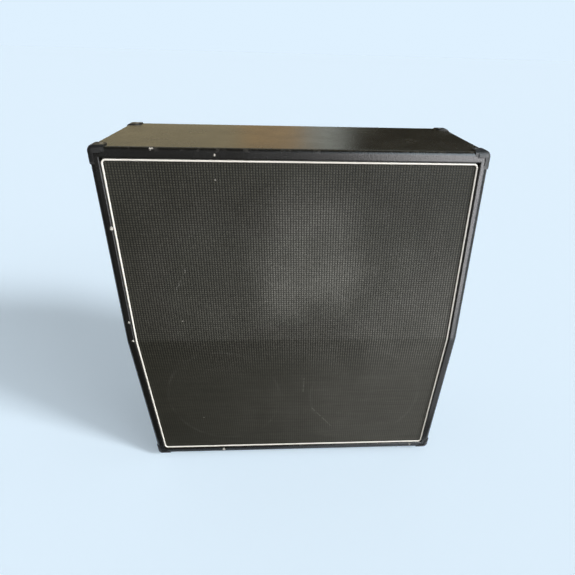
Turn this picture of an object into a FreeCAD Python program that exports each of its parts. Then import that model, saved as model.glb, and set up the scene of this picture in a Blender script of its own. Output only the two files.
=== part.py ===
import FreeCAD, Part
import math
import os
from FreeCAD import Placement, Rotation, Vector

# Slant-front guitar speaker cabinet with four twelve-inch speakers.
# Millimetres. +Z is up, the front faces -Y, +X is to the right seen from the front.
# The origin is on the floor, under the middle of the cabinet.

# Cabinet outside, measured over the covering
WIDTH = 770.0
HEIGHT = 755.0
DEPTH = 375.0
TOP_SETBACK = 73.0
BEND_BELOW_MIDDLE = 5.5
BEND_RADIUS = 40.0
EDGE_RADIUS = 10.0
MOUTH_RADIUS = 4.0

# Boards, strips and sheet
PANEL = 18.0
BAFFLE = 18.0
BACK = 15.0
SKIN = 1.0
CLOTH = 1.0
BATTEN = 16.0
FINGER = 25.0
RAIL_HEIGHT = 34.0
RAIL_DEPTH = 30.0
POST_WIDTH = 40.0

# Front opening: how far the cloth lies behind the edges, and the bead around it
CLOTH_RECESS = 6.5
CLOTH_GAP = 1.6
BEAD = 3.6
BEAD_CORNER_RADIUS = 7.0
BEAD_TAIL = 1.0
BEAD_TAIL_DEPTH = 9.0
BEAD_BUTT_GAP = 0.4

# Rear opening
BACK_RECESS = 10.0
BACK_GAP = 1.0

# Speakers: a border around each on its board, radii from the axis, depths behind the board's rear face
SPEAKER_BORDER = 19.0
FRAME_FLANGE = 13.0
SURROUND_WIDTH = 13.0
GASKET = 3.0
FRAME_SHEET = 2.0
BASKET_CLEARANCE = 1.3
LANDING_RADIUS = 84.0
LANDING_DEPTH = 66.0
CUP_RADIUS = 68.0
CUP_BORE_RADIUS = 30.0
FRAME_DEPTH = 82.0
WINDOWS = 8
WINDOW_ANGLE = 30.0
WINDOW_MARGIN = 5.0
TOP_PLATE_RADIUS = 60.0
TOP_PLATE = 8.0
MAGNET_RADIUS = 78.0
MAGNET_BORE_RADIUS = 35.0
MAGNET = 22.0
YOKE_RADIUS = 72.0
YOKE = 8.0
COIL_BORE_RADIUS = 22.4
COIL_WALL = 0.6
COIL_TOP_DEPTH = 59.0
COIL_WINDING_DEPTH = 80.0
COIL_LENGTH = 41.0
COIL_RUNNING_GAP = 0.6
GLUE_GAP = 0.1
CONE_RIM = 2.5
CONE_RIM_DEPTH = 10.0
CONE_NECK_DEPTH = 58.0
CONE_SHEET = 1.0
DUST_CAP_RADIUS = 32.0
DUST_CAP_RISE = 9.0
SOFT_SHEET = 0.8
SURROUND_RIM = 3.2
SURROUND_ROLL = 4.0
SPIDER_RIM = 12.0
SPIDER_DROP = 6.0
SPIDER_WAVE = 3.0
SPIDER_WAVES = 3
STUDS = 4
STUD_RADIUS = 2.5
STUD_HEAD_RADIUS = 5.0
STUD_NUT = 4.0
STUD_NUT_RADIUS = 4.6
STUD_TIP = 2.0
STUD_CLEARANCE = 0.25
TERMINAL_WIDTH = 20.0
TERMINAL_REACH = 28.0
TERMINAL_BOARD = 1.6
TAB_WIDTH = 6.3
TAB = 0.8
TAB_LENGTH = 8.0
TAB_FROM_END = 5.0

# Corner protectors
CORNER = 2.2
CORNER_LEG_X = 31.0
CORNER_LEG_Y = 34.0
CORNER_LEG_Z = 29.0
CORNER_ROUND = 12.0
LIP = 10.0
LIP_LEG_X = 24.0
LIP_LEG_Z = 23.0
CORNER_SCREW_X = 22.0
CORNER_SCREW_Y = 22.0
CORNER_SCREW_Z = 20.0

# Side handles: a flange, a moulded pan behind it and a mouth under a grip lip
HANDLE_ABOVE_BEND = 98.0
HANDLE_FROM_REAR = 160.0
HANDLE_LENGTH = 184.0
HANDLE_HEIGHT = 140.0
HANDLE_FLANGE = 3.0
HANDLE_ROUND = 16.0
PAN_LENGTH = 152.0
PAN_HEIGHT = 108.0
PAN_DEPTH = 58.0
PAN_WALL = 3.0
PAN_ROUND = 12.0
PAN_CLEARANCE = 0.5
GRIP_HEIGHT = 34.0
GRIP_THICKNESS = 16.0
GRIP_ROUND = 5.0
MOUTH_RIM = 8.0
HANDLE_SCREW_INSET = 8.0

# Feet and caster sockets under the base
FOOT_HEIGHT = 15.0
FOOT_RADIUS = 19.0
FOOT_TOE_RADIUS = 16.0
FOOT_FROM_CORNER = 8.0
FOOT_INSET_Y = 40.0
FOOT_WELL_RADIUS = 6.0
FOOT_WELL = 9.0
SOCKET_FROM_FOOT_X = 42.0
SOCKET_FROM_FOOT_Y = 40.0
SOCKET_BORE_RADIUS = 5.6
SOCKET_WALL = 2.0
SOCKET_LENGTH = 36.0
SOCKET_FLANGE_RADIUS = 16.0
SOCKET_FLANGE = 2.0
SOCKET_CLEARANCE = 0.1

# Jack plate on the back panel
PLATE_ABOVE_BEND = 98.0
PLATE_WIDTH = 116.0
PLATE_HEIGHT = 74.0
PLATE = 2.0
PLATE_ROUND = 6.0
PLATE_SCREW_INSET = 8.0
PLATE_HOLE_WIDTH = 86.0
PLATE_HOLE_HEIGHT = 42.0
JACK_SPACING = 60.0
JACK_BORE_RADIUS = 3.25
JACK_BUSH_RADIUS = 4.75
JACK_BUSH_STAND = 4.5
JACK_BODY = 20.0
JACK_BODY_DEPTH = 30.0
JACK_END_WALL = 3.0
JACK_NUT_RADIUS = 7.5
JACK_NUT = 3.0
JACK_CLEARANCE = 0.15
LUG_WIDTH = 3.0
LUG_LENGTH = 5.0
LUG_OFFSET = 6.0
SELECTOR_WIDTH = 24.0
SELECTOR_HEIGHT = 13.0
SELECTOR_DEPTH = 10.0
SELECTOR_WALL = 1.5
SLIDER_LENGTH = 9.0
SLIDER_BASE = 2.5
KNOB_LENGTH = 5.0
KNOB_HEIGHT = 4.5
KNOB_STAND = 3.5
SELECTOR_TRAVEL = 5.0
SELECTOR_CLEARANCE = 0.3

# Screws
SCREW_SHANK_RADIUS = 2.0
SCREW_HEAD_RADIUS = 4.0
SCREW_HEAD = 2.4
SCREW_LENGTH = 16.0
SCREW_SLOT = 0.9
SCREW_SLOT_REACH = 2.2
SCREW_SLOT_DEPTH = 1.1
PILOT_CLEARANCE = 0.05
BACK_SCREW_LENGTH = 32.0
BACK_SCREW_INSET = 9.0
BACK_SCREWS_ACROSS = 4
BACK_SCREWS_UP = 4
POST_SCREW_SPACING = 20.0
CUP_WASHER_RADIUS = 8.0
CUP_WASHER = 1.6

# Speaker leads: straight ends at the tab and the lug, and bends between them at shares
# of the way across, back and up from one end to the other
LEAD_RADIUS = 2.5
LEAD_TAB_RUN = 34.0
LEAD_LUG_RUN = 22.0
LEAD_ARC_SHARE = 0.45
LEAD_ROUTES = {
    "lower": (
        (0.01, 0.29, 0.04),
        (0.11, 0.52, 0.15),
        (0.28, 0.67, 0.31),
        (0.49, 0.75, 0.50),
        (0.68, 0.79, 0.67),
        (0.83, 0.82, 0.81),
        (0.95, 0.89, 0.93),
    ),
    "upper": (
        (0.10, 0.27, 0.16),
        (0.37, 0.55, 0.42),
        (0.71, 0.80, 0.74),
    ),
}

# Places worked out from the sizes above
FLOOR = 0.0
BASE = FLOOR + FOOT_HEIGHT
TOP = BASE + HEIGHT
BEND = BASE + HEIGHT / 2 - BEND_BELOW_MIDDLE
FRONT = -DEPTH / 2
REAR = DEPTH / 2
SIDE = WIDTH / 2
SLANT = math.atan2(TOP_SETBACK, TOP - BEND)
ARC_Y = FRONT + BEND_RADIUS
ARC_Z = BEND - BEND_RADIUS * math.tan(SLANT / 2)

INNER_SIDE = SIDE - SKIN - PANEL
INNER_LOW = BASE + SKIN + PANEL
INNER_HIGH = TOP - SKIN - PANEL
LINED_SIDE = INNER_SIDE - SKIN
LINED_LOW = INNER_LOW + SKIN
LINED_HIGH = INNER_HIGH - SKIN

BOARD_FRONT = CLOTH_RECESS + CLOTH
BOARD_REAR = BOARD_FRONT + BAFFLE
BOARD_GAP = CLOTH_GAP + CLOTH
BOARD_SIDE = LINED_SIDE - BOARD_GAP
BOARD_LOW = LINED_LOW + BOARD_GAP
BOARD_HIGH = LINED_HIGH - BOARD_GAP
BOARD_BEND = BEND - BOARD_REAR * math.tan(SLANT / 2)
RAIL_REAR = FRONT + BOARD_REAR + RAIL_DEPTH

LOWER_RUN = BOARD_BEND - BOARD_LOW
UPPER_RUN = (BOARD_HIGH - BOARD_BEND) / math.cos(SLANT)
SPEAKER_X = BOARD_SIDE / 2
SPEAKER_RADIUS = min(LOWER_RUN / 2, UPPER_RUN / 2, SPEAKER_X) - SPEAKER_BORDER
CUTOUT_RADIUS = SPEAKER_RADIUS - FRAME_FLANGE
CONE_RADIUS = CUTOUT_RADIUS - SURROUND_WIDTH
STUD_CIRCLE = (CUTOUT_RADIUS + SPEAKER_RADIUS) / 2

BACK_FACE = REAR - BACK_RECESS
BACK_OUTER = BACK_FACE - SKIN
BACK_INNER = BACK_OUTER - BACK
BACK_SIDE = LINED_SIDE - BACK_GAP
BACK_LOW = LINED_LOW + BACK_GAP
BACK_HIGH = LINED_HIGH - BACK_GAP

FOOT_X = SIDE - CORNER_LEG_X - FOOT_FROM_CORNER - FOOT_RADIUS
FOOT_Y = REAR - FOOT_INSET_Y
MARGIN = 50.0
TOUCH = 0.01


def box(x_from, x_to, y_from, y_to, z_from, z_to):
    """A block between two values on each axis."""
    corner = Vector(x_from, y_from, z_from)
    return Part.makeBox(x_to - x_from, y_to - y_from, z_to - z_from, corner)


def rounded_box(x_from, x_to, y_from, y_to, z_from, z_to, radius, axis):
    """A block whose edges along one axis are rounded."""
    block = box(x_from, x_to, y_from, y_to, z_from, z_to)
    edges = [edge for edge in block.Edges if abs(edge.tangentAt(edge.FirstParameter).dot(axis)) > 0.5]
    return block.makeFillet(radius, edges)


def outline(*steps):
    """A closed face: a point takes a line to it, a pair of points an arc through the first."""
    edges = []
    here = steps[0]
    for step in steps[1:] + (steps[0],):
        if isinstance(step, tuple):
            edges.append(Part.Arc(here, step[0], step[1]).toShape())
            here = step[1]
        else:
            edges.append(Part.LineSegment(here, step).toShape())
            here = step
    return Part.Face(Part.Wire(edges))


def across(face, x_from, x_to):
    """A side-view face drawn out from one x to another."""
    moved = face.translated(Vector(x_from, 0, 0))
    return moved.extrude(Vector(x_to - x_from, 0, 0))


def arc_point(offset, share):
    """A point of the rounded bend, set back by an offset, at a share of its turn."""
    radius = BEND_RADIUS - offset
    turn = SLANT * share
    return Vector(0, ARC_Y - radius * math.cos(turn), ARC_Z + radius * math.sin(turn))


def front_point(offset, z):
    """The point at a height on the front, set back by an offset."""
    end = arc_point(offset, 1.0)
    if z <= ARC_Z:
        return Vector(0, FRONT + offset, z)
    if z >= end.z:
        return Vector(0, end.y + (z - end.z) * math.tan(SLANT), z)
    radius = BEND_RADIUS - offset
    return Vector(0, ARC_Y - math.sqrt(radius ** 2 - (z - ARC_Z) ** 2), z)


def mitre_point(offset):
    """Where the two planes of the front, set back by an offset, meet."""
    return Vector(0, FRONT + offset, BEND - offset * math.tan(SLANT / 2))


def front_strip(offset_from, offset_to, z_from, z_to, x_from, x_to):
    """A straight strip along the front, between two depths behind it."""
    face = outline(
        front_point(offset_from, z_from),
        front_point(offset_from, z_to),
        front_point(offset_to, z_to),
        front_point(offset_to, z_from),
    )
    return across(face, x_from, x_to)


def front_board(offset_from, offset_to, z_from, z_to, x_from, x_to):
    """A bent board along the whole front, rounded at the bend on its front face."""
    face = outline(
        front_point(offset_from, z_from),
        arc_point(offset_from, 0.0),
        (arc_point(offset_from, 0.5), arc_point(offset_from, 1.0)),
        front_point(offset_from, z_to),
        front_point(offset_to, z_to),
        mitre_point(offset_to),
        front_point(offset_to, z_from),
    )
    return across(face, x_from, x_to)


def lower_half(offset_from, offset_to):
    """Everything below the mitre of the bend, between two depths and a margin around."""
    inner = mitre_point(offset_to + MARGIN)
    outer = mitre_point(offset_from - MARGIN)
    face = outline(
        outer,
        inner,
        Vector(0, inner.y, BASE - MARGIN),
        Vector(0, outer.y, BASE - MARGIN),
    )
    return across(face, -SIDE - MARGIN, SIDE + MARGIN)


def envelope(inset):
    """The outside of the cabinet, moved in by an inset, with all its edges rounded."""
    low = BASE + inset
    high = TOP - inset
    rear = REAR - inset
    half = SIDE - inset
    face = outline(
        front_point(inset, low),
        arc_point(inset, 0.0),
        (arc_point(inset, 0.5), arc_point(inset, 1.0)),
        front_point(inset, high),
        Vector(0, rear, high),
        Vector(0, rear, low),
    )
    block = across(face, -half, half)
    edges = []
    for edge in block.Edges:
        middle = edge.CenterOfMass
        seam = edge.BoundBox.XLength > half and low + TOUCH < middle.z < high - TOUCH
        if not seam:
            edges.append(edge)
    return block.makeFillet(EDGE_RADIUS - inset, edges)


def opened(block, inset, half, low, high, radius):
    """A block with the opening cut through from front to rear and its two mouths rounded."""
    tube = block.cut(box(-half, half, FRONT - MARGIN, REAR + MARGIN, low, high))
    edges = []
    for edge in tube.Edges:
        middle = edge.valueAt((edge.FirstParameter + edge.LastParameter) / 2)
        inside = abs(middle.x) < half + TOUCH and low - TOUCH < middle.z < high + TOUCH
        at_front = abs(middle.y - front_point(inset, middle.z).y) < TOUCH
        at_rear = abs(middle.y - (REAR - inset)) < TOUCH
        if inside and (at_front or at_rear):
            edges.append(edge)
    return tube.makeFillet(radius, edges)


def fingers(depth_from, depth_to):
    """The slices of a comb joint along a corner."""
    count = max(2, round((depth_to - depth_from) / FINGER))
    pitch = (depth_to - depth_from) / count
    slices = [[depth_from + i * pitch, depth_from + (i + 1) * pitch] for i in range(count)]
    slices[0][0] -= MARGIN
    slices[-1][1] += MARGIN
    return slices


def at(place, shape):
    """A copy of a shape set at a placement."""
    moved = shape.copy()
    moved.Placement = place.multiply(moved.Placement)
    return moved


def spun(*steps):
    """A turned solid: points are radius and height from the axis, a pair of points an arc."""
    placed = []
    for step in steps:
        if isinstance(step[0], tuple):
            placed.append(tuple(Vector(r, 0, z) for r, z in step))
        else:
            placed.append(Vector(step[0], 0, step[1]))
    return outline(*placed).revolve(Vector(0, 0, 0), Vector(0, 0, 1), 360)


def dome_point(radius, rise, base):
    """The point half way down a dome of a radius and rise, whose rim is at a height."""
    ball = (radius ** 2 + rise ** 2) / (2 * rise)
    half_turn = math.asin(radius / ball) / 2
    return ball * math.sin(half_turn), base + rise - ball * (1 - math.cos(half_turn))


def hexagon(radius, height):
    """A six-sided block on z = 0."""
    turns = [2 * math.pi * i / 6 for i in range(6)]
    face = outline(*(Vector(radius * math.cos(turn), radius * math.sin(turn), 0) for turn in turns))
    return face.extrude(Vector(0, 0, height))


def rod(radius, start, direction, length):
    """A round rod from a point along a direction."""
    return Part.makeCylinder(radius, length, start, direction)


def group(solids):
    """Separate solids of one kind together."""
    return Part.makeCompound(solids)


def facing(seat, direction):
    """The placement that turns +Z to a direction and moves the origin to a seat."""
    return Placement(seat, Rotation(Vector(0, 0, 1), direction))


# Screws

def pan_screw(length):
    """A domed screw with a crossed head: the head stands on z = 0, the shank goes down."""
    blank = spun(
        (0, SCREW_HEAD),
        (dome_point(SCREW_HEAD_RADIUS, SCREW_HEAD, 0), (SCREW_HEAD_RADIUS, 0)),
        (SCREW_SHANK_RADIUS, 0),
        (SCREW_SHANK_RADIUS, SCREW_SHANK_RADIUS - length),
        (0, -length),
    )
    return blank.cut(screw_cross(SCREW_HEAD))


def flush_screw(length):
    """A countersunk screw with a crossed head: its top is at z = 0."""
    blank = spun(
        (0, 0),
        (SCREW_HEAD_RADIUS, 0),
        (SCREW_SHANK_RADIUS, SCREW_SHANK_RADIUS - SCREW_HEAD_RADIUS),
        (SCREW_SHANK_RADIUS, SCREW_SHANK_RADIUS - length),
        (0, -length),
    )
    return blank.cut(screw_cross(0))


def screw_cross(height):
    """The crossed slots of a screw head whose top is at a height."""
    half = SCREW_SLOT / 2
    reach = SCREW_SLOT_REACH
    low = height - SCREW_SLOT_DEPTH
    along = box(-reach, reach, -half, half, low, height + SCREW_SLOT_DEPTH)
    return along.fuse(box(-half, half, -reach, reach, low, height + SCREW_SLOT_DEPTH))


def pilots(seats, length):
    """The holes for screws at seats, each a point and the way its head looks."""
    radius = SCREW_SHANK_RADIUS + PILOT_CLEARANCE
    return [rod(radius, seat, direction * -1, length + PILOT_CLEARANCE) for seat, direction in seats]


def countersinks(seats):
    """The cones that flush screw heads sit in."""
    cones = []
    for seat, direction in seats:
        wide = SCREW_HEAD_RADIUS + PILOT_CLEARANCE
        narrow = SCREW_SHANK_RADIUS + PILOT_CLEARANCE
        cones.append(Part.makeCone(wide, narrow, wide - narrow, seat, direction * -1))
    return cones


def set_screws(screw, seats):
    """Screws standing at their seats."""
    return [at(facing(seat, direction), screw) for seat, direction in seats]


def corner_signs():
    """The eight corners of the cabinet as left or right, front or rear, low or high."""
    return [(x, y, z) for x in (-1, 1) for y in (-1, 1) for z in (-1, 1)]


def corner_edge_y(y_sign, z):
    """The depth of the front or rear face at a height."""
    return front_point(0, z).y if y_sign < 0 else REAR


def corner_screw_seats():
    """Two screws in each protector, one through its flat leaf and one through its side leaf."""
    seats = []
    for x, y, z in corner_signs():
        level = TOP if z > 0 else BASE
        flat_y = corner_edge_y(y, level) - y * CORNER_SCREW_Y
        seats.append((Vector(x * (SIDE - CORNER_SCREW_X), flat_y, level + z * CORNER), Vector(0, 0, z)))
        side_z = level - z * CORNER_SCREW_Z
        side_y = corner_edge_y(y, side_z) - y * CORNER_SCREW_Y
        seats.append((Vector(x * (SIDE + CORNER), side_y, side_z), Vector(x, 0, 0)))
    return seats


def handle_centre(sign):
    """The middle of a handle on the covered side of the cabinet."""
    return Vector(sign * SIDE, REAR - HANDLE_FROM_REAR, BEND + HANDLE_ABOVE_BEND)


def handle_screw_seats():
    """Four screws in each handle flange."""
    seats = []
    for sign in (-1, 1):
        middle = handle_centre(sign)
        for y in (-1, 1):
            for z in (-1, 1):
                reach_y = y * (HANDLE_LENGTH / 2 - HANDLE_SCREW_INSET)
                reach_z = z * (HANDLE_HEIGHT / 2 - HANDLE_SCREW_INSET)
                seat = middle + Vector(sign * HANDLE_FLANGE, reach_y, reach_z)
                seats.append((seat, Vector(sign, 0, 0)))
    return seats


def foot_centres():
    """The four feet on the floor."""
    places = []
    for x in (-1, 1):
        for y in (-1, 1):
            places.append(Vector(x * FOOT_X, y * FOOT_Y, FLOOR))
    return places


def foot_screw_seats():
    """One screw up through each foot, in its well."""
    return [(place + Vector(0, 0, FOOT_WELL), Vector(0, 0, -1)) for place in foot_centres()]


def plate_centre():
    """The middle of the jack plate on the covered back panel."""
    return Vector(0, BACK_FACE, BEND + PLATE_ABOVE_BEND)


def plate_screw_seats():
    """One screw in each corner of the jack plate."""
    seats = []
    for x in (-1, 1):
        for z in (-1, 1):
            reach_x = x * (PLATE_WIDTH / 2 - PLATE_SCREW_INSET)
            reach_z = z * (PLATE_HEIGHT / 2 - PLATE_SCREW_INSET)
            seats.append((plate_centre() + Vector(reach_x, PLATE, reach_z), Vector(0, 1, 0)))
    return seats


def back_screw_seats():
    """Screws around the back panel into the battens, and two into the centre post."""
    side = BACK_SIDE - BACK_SCREW_INSET
    low = BACK_LOW + BACK_SCREW_INSET
    high = BACK_HIGH - BACK_SCREW_INSET
    face = BACK_FACE + CUP_WASHER
    points = []
    for i in range(BACK_SCREWS_ACROSS):
        x = -side + 2 * side * i / (BACK_SCREWS_ACROSS - 1)
        points += [(x, low), (x, high)]
    for i in range(1, BACK_SCREWS_UP - 1):
        z = low + (high - low) * i / (BACK_SCREWS_UP - 1)
        points += [(-side, z), (side, z)]
    points += [(-POST_SCREW_SPACING / 2, post_height()), (POST_SCREW_SPACING / 2, post_height())]
    return [(Vector(x, face, z), Vector(0, 1, 0)) for x, z in points]


def post_height():
    """The height of the middle of the bend rail and the centre post."""
    return BOARD_BEND


def build_screws():
    """All screws, by node."""
    back_seats = back_screw_seats()
    washer = spun(
        (SCREW_SHANK_RADIUS + PILOT_CLEARANCE, 0),
        (CUP_WASHER_RADIUS, 0),
        (SCREW_HEAD_RADIUS + CUP_WASHER, CUP_WASHER),
        (SCREW_SHANK_RADIUS + PILOT_CLEARANCE, CUP_WASHER),
    )
    washers = [at(facing(seat - way * CUP_WASHER, way), washer) for seat, way in back_seats]
    fittings = handle_screw_seats() + foot_screw_seats() + plate_screw_seats()
    return {
        "corner_screws": group(set_screws(flush_screw(SCREW_LENGTH), corner_screw_seats())),
        "fitting_screws": group(set_screws(pan_screw(SCREW_LENGTH), fittings)),
        "back_panel_screws": group(set_screws(pan_screw(BACK_SCREW_LENGTH), back_seats)),
        "back_screw_washers": group(washers),
    }


# Woodwork and covering

def handle_cutout(sign):
    """The hole in a side for the handle's pan."""
    middle = handle_centre(sign)
    half_y = PAN_LENGTH / 2 + PAN_CLEARANCE
    half_z = PAN_HEIGHT / 2 + PAN_CLEARANCE
    x_from, x_to = sorted((sign * (SIDE + MARGIN), sign * (SIDE - PAN_DEPTH)))
    return rounded_box(
        x_from, x_to,
        middle.y - half_y, middle.y + half_y,
        middle.z - half_z, middle.z + half_z,
        PAN_ROUND + PAN_CLEARANCE, Vector(1, 0, 0),
    )


def shell_holes():
    """Everything cut through the shell and its covering."""
    holes = pilots(corner_screw_seats() + handle_screw_seats() + foot_screw_seats(), SCREW_LENGTH)
    holes += [handle_cutout(-1), handle_cutout(1)]
    radius = SOCKET_BORE_RADIUS + SOCKET_WALL + SOCKET_CLEARANCE
    holes += [rod(radius, place, Vector(0, 0, 1), SOCKET_LENGTH + MARGIN) for place in socket_places()]
    return group(holes)


def socket_places():
    """The caster sockets on the underside of the covering."""
    places = []
    for x in (-1, 1):
        for y in (-1, 1):
            reach_x = FOOT_X - SOCKET_FROM_FOOT_X
            reach_y = FOOT_Y - SOCKET_FROM_FOOT_Y
            places.append(Vector(x * reach_x, y * reach_y, BASE))
    return places


def build_shell():
    """The four comb-jointed panels of the box and the covering glued around them."""
    ring = opened(envelope(SKIN), SKIN, INNER_SIDE, INNER_LOW, INNER_HIGH, MOUTH_RADIUS - SKIN)
    covered = opened(envelope(0), 0, LINED_SIDE, LINED_LOW, LINED_HIGH, MOUTH_RADIUS)
    unlined = front_board(BOARD_REAR, DEPTH, INNER_LOW, INNER_HIGH, -INNER_SIDE, INNER_SIDE)
    unlined = unlined.common(box(-SIDE, SIDE, FRONT, BACK_INNER, BASE, TOP))
    holes = shell_holes()
    covering = covered.cut(ring).cut(unlined).cut(holes)

    depth = (FRONT - MARGIN, REAR + MARGIN)
    regions = {
        "left_side_panel": [box(-SIDE, -INNER_SIDE, *depth, INNER_LOW, INNER_HIGH)],
        "right_side_panel": [box(INNER_SIDE, SIDE, *depth, INNER_LOW, INNER_HIGH)],
        "top_panel": [box(-INNER_SIDE, INNER_SIDE, *depth, INNER_HIGH, TOP)],
        "bottom_panel": [box(-INNER_SIDE, INNER_SIDE, *depth, BASE, INNER_LOW)],
    }
    levels = (
        ("top_panel", front_point(0, TOP).y, INNER_HIGH, TOP),
        ("bottom_panel", FRONT, BASE, INNER_LOW),
    )
    for name, front, low, high in levels:
        for i, (y_from, y_to) in enumerate(fingers(front, REAR)):
            left = box(-SIDE, -INNER_SIDE, y_from, y_to, low, high)
            right = box(INNER_SIDE, SIDE, y_from, y_to, low, high)
            regions["left_side_panel" if i % 2 else name].append(left)
            regions["right_side_panel" if i % 2 else name].append(right)
    pieces = {"shell_covering": covering}
    for name, blocks in regions.items():
        whole = blocks[0].multiFuse(blocks[1:]).removeSplitter()
        pieces[name] = ring.common(whole).cut(holes)
    return pieces


def build_back():
    """The back panel, its covering and the battens it is screwed to."""
    holes = pilots(back_screw_seats(), BACK_SCREW_LENGTH) + pilots(plate_screw_seats(), SCREW_LENGTH)
    middle = plate_centre()
    holes.append(box(
        middle.x - PLATE_HOLE_WIDTH / 2, middle.x + PLATE_HOLE_WIDTH / 2,
        BACK_INNER - MARGIN, REAR,
        middle.z - PLATE_HOLE_HEIGHT / 2, middle.z + PLATE_HOLE_HEIGHT / 2,
    ))
    wrapped = box(-BACK_SIDE, BACK_SIDE, BACK_INNER, BACK_FACE, BACK_LOW, BACK_HIGH)
    panel = box(
        SKIN - BACK_SIDE, BACK_SIDE - SKIN, BACK_INNER, BACK_OUTER, BACK_LOW + SKIN, BACK_HIGH - SKIN)
    front = BACK_INNER - BATTEN
    strip_side = INNER_SIDE - BATTEN
    battens = [
        box(-INNER_SIDE, -strip_side, front, BACK_INNER, INNER_LOW, INNER_HIGH),
        box(strip_side, INNER_SIDE, front, BACK_INNER, INNER_LOW, INNER_HIGH),
        box(-strip_side, strip_side, front, BACK_INNER, INNER_LOW, INNER_LOW + BATTEN),
        box(-strip_side, strip_side, front, BACK_INNER, INNER_HIGH - BATTEN, INNER_HIGH),
    ]
    cuts = group(holes)
    return {
        "back_panel": panel.cut(cuts),
        "back_covering": wrapped.cut(panel).cut(cuts),
        "back_battens": group([batten.cut(cuts) for batten in battens]),
    }


def speaker_places():
    """The placement of each speaker: its axis starts on the rear face of its board, +Z forward."""
    lower = Vector(0, FRONT + BOARD_REAR, (BOARD_LOW + BOARD_BEND) / 2)
    upper = (mitre_point(BOARD_REAR) + front_point(BOARD_REAR, BOARD_HIGH)) * 0.5
    rows = {
        "lower": (lower, Rotation(Vector(1, 0, 0), 90)),
        "upper": (upper, Rotation(Vector(1, 0, 0), 90 - math.degrees(SLANT))),
    }
    places = {}
    for row, (centre, turn) in rows.items():
        for name, sign in (("left", -1), ("right", 1)):
            shift = Vector(sign * SPEAKER_X, 0, 0)
            places[row + "_" + name] = (Placement(centre + shift, turn), sign)
    return places


def stud_points():
    """The studs around one speaker, in its own frame."""
    points = []
    for i in range(STUDS):
        angle = 2 * math.pi * (i + 0.5) / STUDS
        points.append(Vector(STUD_CIRCLE * math.cos(angle), STUD_CIRCLE * math.sin(angle), 0))
    return points


def stud_holes(length):
    """Clearance holes for the studs of one speaker, from the board's rear face to a depth each way."""
    radius = STUD_RADIUS + STUD_CLEARANCE
    return [rod(radius, p - Vector(0, 0, length), Vector(0, 0, 1), 2 * length) for p in stud_points()]


def build_boards():
    """The two speaker boards, the strips behind them, the rail at the bend and the centre post."""
    lower = lower_half(BOARD_FRONT, BOARD_REAR)
    cuts = []
    frames = []
    for place, _ in speaker_places().values():
        cuts.append(at(place, rod(CUTOUT_RADIUS, Vector(0, 0, -MARGIN), Vector(0, 0, 1), 2 * MARGIN)))
        cuts += [at(place, hole) for hole in stud_holes(MARGIN)]
        sink = STUD_HEAD_RADIUS + STUD_CLEARANCE
        for point in stud_points():
            top = point + Vector(0, 0, BAFFLE)
            cuts.append(at(place, Part.makeCone(sink, 0, sink, top, Vector(0, 0, -1))))
        reach = SPEAKER_RADIUS + STUD_CLEARANCE
        frames.append(at(place, rod(reach, Vector(0, 0, -FRAME_DEPTH), Vector(0, 0, 1), FRAME_DEPTH)))
    blank = front_board(BOARD_FRONT, BOARD_REAR, BOARD_LOW, BOARD_HIGH, -BOARD_SIDE, BOARD_SIDE)
    board_cuts = group(cuts)
    strip_rear = BOARD_REAR + BATTEN
    strip_side = INNER_SIDE - BATTEN
    room = group(frames)
    strips = []
    for x_from, x_to in ((-INNER_SIDE, -strip_side), (strip_side, INNER_SIDE)):
        strip = front_board(BOARD_REAR, strip_rear, INNER_LOW, INNER_HIGH, x_from, x_to)
        strips += [strip.common(lower), strip.cut(lower)]
    strips.append(front_strip(
        BOARD_REAR, strip_rear, INNER_LOW, INNER_LOW + BATTEN, -strip_side, strip_side))
    strips.append(front_strip(
        BOARD_REAR, strip_rear, INNER_HIGH - BATTEN, INNER_HIGH, -strip_side, strip_side))
    middle = post_height()
    low = middle - RAIL_HEIGHT / 2
    high = middle + RAIL_HEIGHT / 2
    rail = outline(
        front_point(BOARD_REAR, low),
        mitre_point(BOARD_REAR),
        front_point(BOARD_REAR, high),
        Vector(0, RAIL_REAR, high),
        Vector(0, RAIL_REAR, low),
    )
    post = box(-POST_WIDTH / 2, POST_WIDTH / 2, RAIL_REAR, BACK_INNER, low, high)
    return {
        "lower_baffle": blank.common(lower).cut(board_cuts),
        "upper_baffle": blank.cut(lower).cut(board_cuts),
        "baffle_battens": group([strip.cut(room) for strip in strips]),
        "bend_rail": across(rail, -strip_side, strip_side).cut(room),
        "centre_post": post.cut(group(pilots(back_screw_seats(), BACK_SCREW_LENGTH))),
    }


# Cloth and bead

def build_cloth():
    """The grille cloth: one sheet over both boards, turned back around their edges."""
    side = BOARD_SIDE + CLOTH
    low = BOARD_LOW - CLOTH
    high = BOARD_HIGH + CLOTH
    outer = front_board(CLOTH_RECESS, BOARD_REAR, low, high, -side, side)
    inner = front_board(
        BOARD_FRONT, BOARD_REAR + MARGIN, BOARD_LOW, BOARD_HIGH, -BOARD_SIDE, BOARD_SIDE)
    return {"grille_cloth": outer.cut(inner)}


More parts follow.
